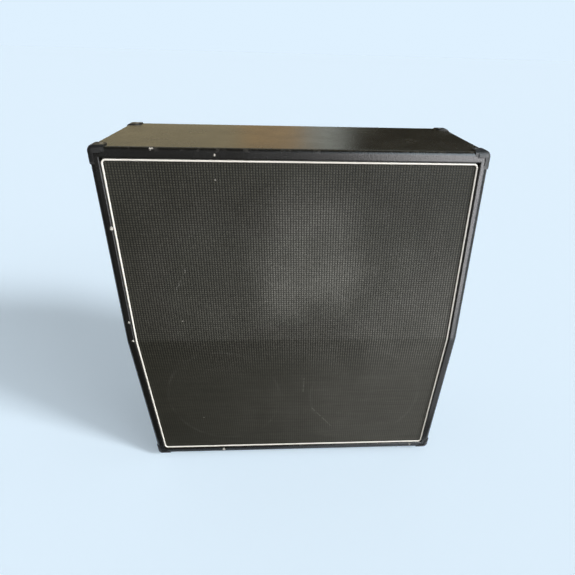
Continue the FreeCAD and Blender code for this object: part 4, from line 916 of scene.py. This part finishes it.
@dataclass
class Grille(Assembly):
    """The cloth stretched over both speaker boards, and the piping around it."""

    side: float = 0.3634
    low: float = 0.0366
    high: float = 0.7484
    recess: float = 0.0065
    fold: float = 0.0190
    rib: float = 0.0055908
    weft: float = 0.00460
    relief: float = 0.00022
    dip: float = 0.0009
    soft_rim: float = 0.35
    specks: tuple[tuple[Point, float], ...] = (
        ((-0.2538, -0.1720, 0.4334), 0.0022),
        ((-0.2435, -0.1810, 0.1439), 0.0022),
        ((-0.1538, -0.1182, 0.7157), 0.0024),
    )
    # Lighter patches on the cloth, each a middle, reach and strength: soft haze above the bend, one darker
    # spot of negative strength, and painted light from the right in the patches at the right and the broad
    # ones low down.
    haze_and_painted_light: tuple[tuple[Point, float, float], ...] = (
        ((0.0400, -0.1450, 0.5750), 0.165, 0.32),
        ((0.0400, -0.1310, 0.6480), 0.100, 0.12),
        ((0.0580, -0.1385, 0.6120), 0.040, -0.09),
        ((0.0900, -0.1585, 0.5040), 0.080, 0.13),
        ((-0.0230, -0.1597, 0.4960), 0.100, 0.22),
        ((0.2966, -0.1634, 0.4787), 0.240, 0.15),
        ((-0.1800, -0.1588, 0.5200), 0.200, 0.10),
        ((0.3600, -0.1810, 0.1700), 0.500, 0.30),
        ((-0.0300, -0.1810, 0.2000), 0.420, 0.10),
    )
    scuffs: tuple[tuple[Point, Point, float], ...] = (
        ((-0.2588, -0.1587, 0.5033), (-0.2319, -0.1507, 0.5455), 0.0030),
        ((-0.2393, -0.1491, 0.5538), (-0.2300, -0.1530, 0.5330), 0.0026),
        ((0.0451, -0.1810, 0.1711), (0.0998, -0.1810, 0.1027), 0.0024),
        ((0.0224, -0.1810, 0.2728), (0.0200, -0.1810, 0.2200), 0.0022),
        ((-0.1538, -0.1182, 0.7157), (-0.1560, -0.1215, 0.6980), 0.0020),
    )
    runs: dict[Row, float] = field(default_factory=lambda: {Row.LOWER: 0.1745, Row.UPPER: 0.5363})

    def finishes(self) -> dict[str, Finish]:
        """The finish of the piping."""
        return {"piping": Bead()}

    def hole_centres(self) -> tuple[tuple[float, float], ...]:
        """The middles of the speakers' holes, across the cloth and up it."""
        return tuple((side.sign * BOX.speaker_x, run) for run in self.runs.values() for side in Side)

    def drawn_in(self, x: float, run: float) -> float:
        """How far the cloth is drawn in over a speaker's hole.

        Args:
            x: the place across the cloth.
            run: the place up the cloth.

        Returns:
            The extra depth.
        """
        away = min(math.hypot(x - across, run - up) for across, up in self.hole_centres())
        share = min(max((BOX.hole - away) / (BOX.hole * self.soft_rim), 0.0), 1.0)
        return self.dip * share * share * (3.0 - 2.0 * share)

    def set_sheet(self, form: bmesh.types.BMesh, length: float) -> None:
        """Lay a flat grid onto the front, thread by thread.

        Args:
            form: the grid, one metre square.
            length: the way up the front that it covers.
        """
        threads = form.loops.layers.uv.new("threads")
        cloth = form.loops.layers.uv.new("cloth")
        places = {vert: (vert.co.x * 2.0 * self.side, (vert.co.y + 0.5) * length) for vert in form.verts}
        for face in form.faces:
            for loop in face.loops:
                x, run = places[loop.vert]
                loop[threads].uv = (x / self.rib, run / self.weft)
                loop[cloth].uv = (x, run)
        for vert, (x, run) in places.items():
            raised = self.relief if self.crossing(x, run) and not vert.is_boundary else 0.0
            depth = self.recess + self.relief + self.drawn_in(x, run) - raised
            vert.co = Vector((x, 0.0, 0.0)) + BOX.along(run, self.low, depth)

    def crossing(self, x: float, run: float) -> bool:
        """Whether a rib and a weft thread cross at a place."""
        return round(2.0 * x / self.rib) % 2 == 0 and round(2.0 * run / self.weft) % 2 == 0

    def fold_edges(self, form: bmesh.types.BMesh) -> None:
        """Turn the cloth's edges back around the boards.

        Args:
            form: the laid sheet.
        """
        threads = form.loops.layers.uv["threads"]
        cloth = form.loops.layers.uv["cloth"]
        rim = [edge for edge in form.edges if edge.is_boundary]
        grown = bmesh.ops.extrude_edge_only(form, edges=rim)["geom"]
        for vert in (item for item in grown if isinstance(item, bmesh.types.BMVert)):
            run = self.run_of(vert.co)
            vert.co -= BOX.facing(run, self.low, self.recess) * self.fold
        for face in (item for item in grown if isinstance(item, bmesh.types.BMFace)):
            for loop in face.loops:
                run = self.run_of(loop.vert.co)
                loop[threads].uv = (loop.vert.co.x / self.rib, (run + loop.vert.co.y) / self.weft)
                loop[cloth].uv = (loop.vert.co.x, run)

    def run_of(self, point: Vector) -> float:
        """How far up the front a point lies.

        Args:
            point: a point on or behind the front.

        Returns:
            The way up from the cloth's lower edge.
        """
        if point.z <= BOX.arc_start:
            return point.z - self.low
        return BOX.arc_start - self.low + (point.z - BOX.arc_start) / math.cos(BOX.slant)

    def pieces(self) -> Iterator[bpy.types.Object]:
        """The cloth: one woven sheet, folded back at its edges.

        Yields:
            The cloth.
        """
        length = BOX.length(self.low, self.high, self.recess)
        columns = round(4.0 * self.side / self.rib)
        rows = round(2.0 * length / self.weft)
        form = bmesh.new()
        bmesh.ops.create_grid(form, x_segments=columns, y_segments=rows, size=0.5)
        self.set_sheet(form, length)
        self.fold_edges(form)
        lower_holes = self.hole_centres()[:2]
        weave = Weave(holes=lower_holes, specks=self.specks, haze_and_painted_light=self.haze_and_painted_light, scuffs=self.scuffs)
        cloth = new_piece("woven_grille_cloth", form, weave)
        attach(cloth, "cabinet")
        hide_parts("grille_cloth")
        yield cloth


@dataclass
class Speaker:
    """Where one speaker is: its row, its side, its middle and how far its board leans."""

    row: Row
    side: Side
    centre: Point
    tilt: float

    @property
    def name(self) -> str:
        """The start of the names of its parts."""
        return f"{self.row.value}_{self.side.value}"

    @property
    def place(self) -> Matrix:
        """The turn and move that set its own frame, +Z forward, on its board."""
        return Matrix.Translation(self.centre) @ Matrix.Rotation(math.pi / 2 - self.tilt, 4, "X")

    def point(self, height: float) -> Vector:
        """The point of its axis at a height in front of the board's rear face."""
        return self.place @ Vector((0.0, 0.0, height))


@dataclass
class Speakers(Assembly):
    """Four twelve-inch speakers, each with a surround and a spider of rolled doped cloth."""

    lower: tuple[float, float] = (-0.1620, 0.2111)
    upper: tuple[float, float] = (-0.1274, 0.5660)
    cone_ring: float = 0.1285
    cone_rim: float = 0.0025
    rim_depth: float = 0.0100
    mouth: float = 0.1382
    gasket: float = 0.0030
    outer_rim: float = 0.0032
    roll: float = 0.0040
    neck: float = 0.0231
    spider_edge: float = 0.0652
    spider_rim: float = 0.0120
    landing: float = 0.0660
    drop: float = 0.0060
    wave: float = 0.0030
    waves: int = 3
    sheet: float = 0.0008
    steps: int = 5
    turns: int = 72
    merge: float = 1e-6
    surround_reach: tuple[float, float] = (-0.0092, -0.0036)
    spider_reach: tuple[float, float] = (-0.0715, -0.0664)
    ring_middle: float = -0.04
    felt: float = 1300.0
    paper: Colour = (0.030, 0.029, 0.028)
    paper_fleck: Colour = (0.075, 0.072, 0.066)

    def all(self) -> list[Speaker]:
        """The four speakers.

        Returns:
            The speakers, the lower row first and in each row the left one.
        """
        found = []
        for row, (y, z), tilt in ((Row.LOWER, self.lower, 0.0), (Row.UPPER, self.upper, BOX.slant)):
            for side in Side:
                found.append(Speaker(row, side, (side.sign * BOX.speaker_x, y, z), tilt))
        return found

    def finishes(self) -> dict[str, Finish]:
        """The finish of each part of the speakers.

        Returns:
            Finishes by the frame's parts.
        """
        dressed: dict[str, Finish] = {
            "speaker_gaskets": CORK,
            "terminal_boards": BROWN_BOARD,
            "speaker_studs": PLATED,
            "speaker_nuts": PLATED,
            "top_plates": PLATED,
            "yokes": PLATED,
        }
        for speaker in self.all():
            name = speaker.name
            middle = tuple(speaker.point(self.ring_middle))
            axis = tuple(speaker.point(1.0) - speaker.point(0.0))
            dressed[name + "_frame"] = FRAME_PAINT
            dressed[name + "_magnet"] = FERRITE
            paper = Fibre(name + "_paper", self.paper, self.paper_fleck, ring_centre=middle)
            dressed[name + "_cone"] = paper
            dressed[name + "_dust_cap"] = Fibre(name + "_felt", self.paper_fleck, self.paper, self.felt)
            dressed[name + "_voice_coil"] = Winding(name + "_winding", axis)
        return dressed

    def rolled(self, points: list[tuple[float, float]]) -> list[tuple[float, float]]:
        """A line through points that rounds each roll.

        Args:
            points: radius and height of the tops and bottoms of the rolls.

        Returns:
            The line's points.
        """
        line = [points[0]]
        for (r_from, h_from), (r_to, h_to) in zip(points, points[1:]):
            for step in range(1, self.steps + 1):
                share = step / self.steps
                ease = (1.0 - math.cos(math.pi * share)) / 2.0
                line.append((r_from + (r_to - r_from) * share, h_from + (h_to - h_from) * ease))
        return line

    def ring(self, name: str, points: list[tuple[float, float]], place: Matrix) -> bpy.types.Object:
        """A rolled ring of doped cloth.

        Args:
            name: the piece's name.
            points: radius and height of its rolls, from the inside out.
            place: where it is set.

        Returns:
            The piece.
        """
        form = bmesh.new()
        line = [form.verts.new((radius, 0.0, height)) for radius, height in self.rolled(points)]
        edges = [form.edges.new(pair) for pair in zip(line, line[1:])]
        bmesh.ops.spin(
            form, geom=line + edges, cent=(0, 0, 0), axis=(0, 0, 1), angle=2 * math.pi,
            steps=self.turns, use_merge=True, use_duplicate=False)
        bmesh.ops.remove_doubles(form, verts=form.verts, dist=self.merge)
        bmesh.ops.recalc_face_normals(form, faces=form.faces)
        bmesh.ops.solidify(form, geom=list(form.faces), thickness=self.sheet)
        bmesh.ops.transform(form, matrix=place, verts=form.verts)
        piece = new_piece(name, form, DOPED_CLOTH)
        piece.data.shade_smooth()
        return piece

    def surround_points(self) -> list[tuple[float, float]]:
        """Radius and height of the surround's rolls.

        Returns:
            The points, from the cone out.
        """
        step = (self.mouth - self.cone_ring) / 3.0
        rest = -self.rim_depth + self.sheet
        return [
            (self.cone_ring - self.cone_rim, rest),
            (self.cone_ring, rest),
            (self.cone_ring + step, rest + self.roll),
            (self.cone_ring + 2.0 * step, rest + self.roll / 2.0),
            (self.mouth, self.sheet - self.gasket),
            (self.mouth + self.outer_rim, self.sheet - self.gasket),
        ]

    def spider_points(self) -> list[tuple[float, float]]:
        """Radius and height of the spider's waves.

        Returns:
            The points, from the voice coil out.
        """
        points = [(self.neck, self.sheet - self.landing - self.drop)]
        count = 2 * self.waves
        for i in range(1, count):
            share = i / count
            dip = 0.0 if i % 2 else -self.wave
            height = self.sheet - self.landing - self.drop * (1.0 - share) + dip
            points.append((self.neck + (self.spider_edge - self.neck) * share, height))
        points.append((self.spider_edge, self.sheet - self.landing))
        points.append((self.spider_edge + self.spider_rim, self.sheet - self.landing))
        return points

    def pieces(self) -> Iterator[bpy.types.Object]:
        """The surround and the spider of each speaker.

        Yields:
            Each ring; its inner edge meets the cone and its outer edge the cabinet.
        """
        for speaker in self.all():
            surround = self.ring(speaker.name + "_surround", self.surround_points(), speaker.place)
            start, end = (tuple(speaker.point(height)) for height in self.surround_reach)
            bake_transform(surround)
            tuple(start)
            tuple(end)
            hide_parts("cone_surrounds")
            yield surround
            spider = self.ring(speaker.name + "_spider", self.spider_points(), speaker.place)
            start, end = (tuple(speaker.point(height)) for height in self.spider_reach)
            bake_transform(spider)
            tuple(start)
            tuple(end)
            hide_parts("spiders")
            yield spider


@dataclass
class Leads(Assembly):
    """Four short leads from the jacks' lugs to the speakers' tabs, parented to the cabinet."""

    diameter: float = 0.0050
    round_steps: int = 5
    way_steps: int = 8
    order: int = 3
    lengths: dict[Row, float] = field(default_factory=lambda: {Row.LOWER: 0.400, Row.UPPER: 0.218})
    routes: dict[Row, tuple[Point, ...]] = field(default_factory=lambda: {
        Row.LOWER: (
            (0.0300, 0.1425, 0.4790), (0.0300, 0.1205, 0.4790), (0.0329, 0.1045, 0.4607),
            (0.0398, 0.0908, 0.4303), (0.0490, 0.0844, 0.3919), (0.0586, 0.0782, 0.3536),
            (0.0680, 0.0687, 0.3158), (0.0766, 0.0527, 0.2803), (0.0836, 0.0280, 0.2499),
            (0.0877, -0.0056, 0.2289), (0.0886, -0.0504, 0.2179), (0.0886, -0.0844, 0.2179),
        ),
        Row.UPPER: (
            (0.0300, 0.1425, 0.4910), (0.0300, 0.1205, 0.4910), (0.0493, 0.0890, 0.5091),
            (0.0632, 0.0647, 0.5227), (0.0753, 0.0386, 0.5346), (0.0842, 0.0105, 0.5446),
            (0.0886, -0.0165, 0.5518), (0.0886, -0.0499, 0.5582),
        ),
    })

    def lead(self, row: Row, side: Side) -> bpy.types.Object:
        """One lead as a round curve.

        Args:
            row: the speaker's row.
            side: the speaker's side.

        Returns:
            The lead.
        """
        curve = bpy.data.curves.new(f"{row.value}_{side.value}_lead", "CURVE")
        curve.dimensions = "3D"
        curve.bevel_depth = self.diameter / 2.0
        curve.bevel_resolution = self.round_steps
        curve.resolution_u = self.way_steps
        curve.use_fill_caps = True
        route = [(side.sign * x, y, z) for x, y, z in self.routes[row]]
        spline = curve.splines.new("NURBS")
        spline.points.add(len(route) - 1)
        for point, place in zip(spline.points, route):
            point.co = (*place, 1.0)
        spline.order_u = self.order
        spline.use_endpoint_u = True
        lead = bpy.data.objects.new(curve.name, curve)
        bpy.context.scene.collection.objects.link(lead)
        LEAD_SLEEVE.dress(lead)
        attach(lead, "cabinet")
        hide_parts("speaker_leads")
        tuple(route[0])
        return lead

    def pieces(self) -> Iterator[bpy.types.Object]:
        """All four leads.

        Yields:
            Each lead.
        """
        for row in Row:
            for side in Side:
                yield self.lead(row, side)


@dataclass
class Fittings(Assembly):
    """Corner protectors, handles, feet, caster sockets, the jack plate and every screw."""

    def finishes(self) -> dict[str, Finish]:
        """The finish of each fitting."""
        return {
            "front_corner_protectors": BLACK_PLASTIC,
            "rear_corner_protectors": BLACK_PLASTIC,
            "left_handle": HANDLE_PLASTIC,
            "right_handle": HANDLE_PLASTIC,
            "feet": RUBBER,
            "caster_sockets": PLATED,
            "jack_plate": PLATE_PAINT,
            "jack_sockets": JACK_PLASTIC,
            "jack_nuts": CHROME,
            "selector_switch": JACK_PLASTIC,
            "selector_slider": KNOB_PLASTIC,
            "corner_screws": WORN_SCREW,
            "fitting_screws": BLACK_SCREW,
            "back_panel_screws": BLACK_SCREW,
            "back_screw_washers": PLATED,
        }


SKY: Colour = (0.737, 0.877, 1.0)


def seen(tree: bpy.types.NodeTree) -> Socket:
    """1 for rays from the camera and for those that mirrors and glass pass on, 0 for light on other things.

    Args:
        tree: the nodes to add to.

    Returns:
        The answer.
    """
    rays = tree.nodes.new("ShaderNodeLightPath")
    found = rays.outputs["Is Camera Ray"]
    for other in ("Is Glossy Ray", "Is Transmission Ray"):
        either = tree.nodes.new("ShaderNodeMath")
        either.operation = "MAXIMUM"
        tree.links.new(found, either.inputs[0])
        tree.links.new(rays.outputs[other], either.inputs[1])
        found = either.outputs[0]
    return found


@dataclass(frozen=True)
class PaleFloor(Finish):
    """The plain pale floor: part of the colour it shows is its own, so that only the shadow shows on it."""

    name: str = "pale_floor"
    shown: Colour = SKY
    lit: Colour = (0.726, 0.864, 0.985)
    bounced: Colour = (0.360, 0.350, 0.335)
    own: float = 0.135

    def lay(self, shade: Shade) -> None:
        """Build the floor's nodes.

        Args:
            shade: the material.
        """
        shade.wear(Base_Color=self.bounced, Roughness=1.0, Specular_IOR_Level=0.0)
        matt = shade.add("BsdfDiffuse", {"Color": self.lit}).outputs[0]
        glow = shade.add("Emission", {"Color": self.shown, "Strength": self.own}).outputs[0]
        pale = shade.add("AddShader", {0: matt, 1: glow}).outputs[0]
        asked = seen(shade.material.node_tree)
        both = shade.add("MixShader", {0: asked, 1: shade.shader.outputs[0], 2: pale})
        shade.put(shade.nodes["Material Output"].inputs["Surface"], both.outputs[0])


@dataclass(frozen=True)
class Glow(Finish):
    """The colours of a studio card from one end to the other."""

    name: str
    stops: Stops
    strength: float
    half: float

    def lay(self, shade: Shade) -> None:
        """Build the card's nodes.

        Args:
            shade: the material.
        """
        x = shade.parts(shade.here)[Axis.X.value]
        share = shade.times(shade.plus(x, self.half), 0.5 / self.half)
        ramp = shade.add("ValToRGB", {0: share})
        ramp.color_ramp.interpolation = "EASE"
        for place, colour in self.stops[1:-1]:
            ramp.color_ramp.elements.new(place).color = (*colour, 1.0)
        for element, (place, colour) in zip(ramp.color_ramp.elements, self.stops):
            element.position = place
            element.color = (*colour, 1.0)
        glow = shade.add("Emission", {"Color": ramp.outputs[0], "Strength": self.strength})
        shade.put(shade.nodes["Material Output"].inputs["Surface"], glow.outputs[0])


@dataclass(frozen=True)
class Card:
    """A studio card that only shows in reflections: its middle, half sizes, turn and colours."""

    name: str
    middle: Point
    half: tuple[float, float]
    turn: Point
    stops: Stops
    strength: float = 1.0

    def hang(self) -> bpy.types.Object:
        """Make the card.

        Returns:
            The card.
        """
        form = bmesh.new()
        bmesh.ops.create_grid(form, x_segments=1, y_segments=1, size=1.0)
        bmesh.ops.scale(form, vec=(*self.half, 1.0), verts=form.verts)
        bmesh.ops.rotate(form, matrix=Euler(self.turn).to_matrix(), verts=form.verts)
        bmesh.ops.translate(form, vec=self.middle, verts=form.verts)
        glow = Glow(self.name + "_glow", self.stops, self.strength, self.half[0])
        card = new_piece(self.name, form, glow)
        for ray in ("camera", "diffuse", "shadow", "transmission", "volume_scatter"):
            setattr(card, "visible_" + ray, False)
        return card


def even(colour: Colour) -> Stops:
    """The stops of a card of one colour."""
    return ((0.0, colour), (1.0, colour))


DARK: Colour = (0.010, 0.009, 0.007)
NIGHT: Colour = (0.03, 0.04, 0.05)
TAN: Colour = (0.58, 0.49, 0.30)
FLOOR_DARK: Colour = (0.02, 0.02, 0.017)
FLOOR_DIM: Colour = (0.04, 0.04, 0.036)
FLOOR_HALF: Colour = (0.25, 0.26, 0.27)
FLOOR_PALE: Colour = (0.80, 0.84, 0.88)
FLOOR_BRIGHT: Colour = (0.90, 0.95, 1.0)
UPRIGHT: Point = (math.pi / 2, 0.0, 0.0)
SIDEWAYS: Point = (0.0, math.pi / 2, 0.0)
LEVEL: Point = (0.0, 0.0, 0.0)
CARDS: tuple[Card, ...] = (
    Card("back_card", (0.0, 2.7, 1.35), (3.0, 1.15), UPRIGHT, (
        (0.0, TAN), (0.433, TAN), (0.455, (0.66, 0.46, 0.24)), (0.510, (0.70, 0.49, 0.27)),
        (0.533, (0.55, 0.55, 0.48)), (0.560, (0.52, 0.56, 0.52)), (0.600, DARK), (1.0, DARK)), 0.85),
    Card("front_card", (0.0, -2.8, 1.6), (3.5, 1.6), UPRIGHT, (
        (0.0, (0.0, 0.0, 0.0)), (0.39, (0.003, 0.003, 0.002)), (0.52, (0.008, 0.008, 0.007)),
        (0.585, (0.018, 0.018, 0.017)), (0.640, (0.60, 0.58, 0.58)), (0.70, (0.95, 0.92, 0.93)),
        (0.76, (0.90, 0.94, 1.0)), (0.84, (0.10, 0.14, 0.18)), (0.88, NIGHT), (1.0, NIGHT)), 11.0),
    Card("far_floor_card", (0.0, -1.835, 0.004), (3.5, 0.985), LEVEL, (
        (0.0, FLOOR_DARK), (0.50, FLOOR_DIM), (0.560, FLOOR_HALF), (0.620, (0.80, 0.86, 0.92)),
        (0.71, (0.80, 0.88, 0.94)), (0.78, (0.22, 0.24, 0.26)), (1.0, (0.16, 0.18, 0.20))), 3.0),
    Card("floor_card", (0.0, -0.585, 0.004), (3.5, 0.265), LEVEL, (
        (0.0, FLOOR_DARK), (0.485, FLOOR_DIM), (0.520, FLOOR_HALF), (0.555, FLOOR_PALE),
        (1.0, FLOOR_BRIGHT)), 1.5),
    Card("sill_floor_card", (0.0, -0.219, 0.004), (3.5, 0.006), LEVEL, (
        (0.0, DARK), (0.485, DARK), (0.515, FLOOR_PALE), (1.0, FLOOR_BRIGHT)), 2.5),
    # A dark strip lying on the floor just in front of the cabinet, seen only in the bezels' reflections:
    # painted shade of the floor in reflections.
    Card("near_floor_shade_card", (0.0, -0.273, 0.004), (3.5, 0.047), LEVEL, (
        (0.0, DARK), (0.50, DARK), (0.56, (0.15, 0.16, 0.17)), (1.0, (0.18, 0.19, 0.20)))),
    Card("front_ceiling_card", (0.0, -1.85, 3.2), (3.5, 1.15), LEVEL, (
        (0.0, DARK), (0.585, DARK), (0.640, (0.50, 0.58, 0.64)), (1.0, (0.62, 0.80, 0.92))), 11.0),
    Card("ceiling_card", (0.0, 1.05, 3.2), (3.5, 1.75), LEVEL, even(DARK)),
    Card("left_card", (-3.5, -0.1, 1.6), (1.6, 2.9), SIDEWAYS, even((0.12, 0.12, 0.12))),
    Card("right_card", (3.5, -0.1, 1.6), (1.6, 2.9), SIDEWAYS, even((0.70, 0.76, 0.82))),
)


@dataclass(frozen=True)
class Lamp:
    """A broad lamp far away: its strength, how wide it is and where it stands, in degrees."""

    name: str
    strength: float
    width: float
    turn: float
    height: float

    def hang(self) -> None:
        """Set the lamp up."""
        sun = bpy.data.lights.new(self.name, "SUN")
        sun.energy = self.strength
        sun.angle = math.radians(self.width)
        lamp = bpy.data.objects.new(self.name, sun)
        lamp.rotation_euler = (0.0, math.radians(90.0 - self.height), math.radians(self.turn))
        bpy.context.scene.collection.objects.link(lamp)


LAMPS: tuple[Lamp, ...] = (
    Lamp("key", 2.75, 13.0, -25.0, 25.0),
    Lamp("soft_key", 0.57, 26.0, -42.0, 25.0),
    Lamp("front_fill", 1.35, 30.0, -100.0, 24.0),
)


@dataclass
class Studio(Assembly):
    """Floor, cards, light and camera."""

    floor_size: float = 120.0
    sky: Colour = SKY
    fill: Colour = (1.0, 0.985, 0.96)
    fill_strength: float = 0.255
    eye: Point = (-0.02243, -1.02602, 0.92688)
    pitch: float = 39.06819
    yaw: float = 4.1885
    roll: float = 1.68047
    lens: float = 26.5896
    sensor: float = 36.0
    shift: tuple[float, float] = (-0.03993, 0.17527)

    def pieces(self) -> Iterator[bpy.types.Object]:
        """The floor and the cards, which aren't part of the cabinet.

        Yields:
            The floor, then each card.
        """
        form = bmesh.new()
        bmesh.ops.create_grid(form, x_segments=1, y_segments=1, size=self.floor_size / 2.0)
        floor = new_piece("floor", form, PaleFloor())
        self.light()
        self.look()
        yield floor
        for card in CARDS:
            yield card.hang()

    def light(self) -> None:
        """The lamps, and an even sky whose pale colour shows behind the cabinet."""
        for lamp in LAMPS:
            lamp.hang()
        world = bpy.data.worlds.new("studio")
        bpy.context.scene.world = world
        world.use_nodes = True
        tree = world.node_tree
        lit = tree.nodes["Background"]
        lit.inputs["Color"].default_value = (*self.fill, 1.0)
        lit.inputs["Strength"].default_value = self.fill_strength
        shown = tree.nodes.new("ShaderNodeBackground")
        shown.inputs["Color"].default_value = (*self.sky, 1.0)
        choice = tree.nodes.new("ShaderNodeMixShader")
        tree.links.new(seen(tree), choice.inputs[0])
        tree.links.new(lit.outputs[0], choice.inputs[1])
        tree.links.new(shown.outputs[0], choice.inputs[2])
        tree.links.new(choice.outputs[0], tree.nodes["World Output"].inputs["Surface"])
        bpy.context.scene.view_settings.view_transform = "Standard"

    def look(self) -> None:
        """The camera: above and in front of the cabinet, a little to the left."""
        pitch, yaw, roll = (math.radians(turn) for turn in (self.pitch, self.yaw, self.roll))
        ahead = Vector((math.sin(yaw) * math.cos(pitch), math.cos(yaw) * math.cos(pitch), -math.sin(pitch)))
        level = Vector((math.cos(yaw), -math.sin(yaw), 0.0))
        upright = level.cross(ahead)
        right = level * math.cos(roll) + upright * math.sin(roll)
        up = upright * math.cos(roll) - level * math.sin(roll)
        lens = bpy.data.cameras.new("eye")
        lens.sensor_width = self.sensor
        lens.sensor_fit = "HORIZONTAL"
        lens.lens = self.lens
        lens.shift_x, lens.shift_y = self.shift
        camera = bpy.data.objects.new("eye", lens)
        turned = Matrix((right, up, -ahead)).transposed().to_4x4()
        camera.matrix_world = Matrix.Translation(self.eye) @ turned
        bpy.context.scene.collection.objects.link(camera)
        bpy.context.scene.camera = camera


def main() -> None:
    """Build every sub-assembly in order."""
    logging.basicConfig(level=logging.INFO, format="%(message)s")
    for assembly in (Studio(), Leads(), Woodwork(), Covering(), Grille(), Speakers(), Fittings()):
        assembly.build()


if __name__ == "__main__":
    main()
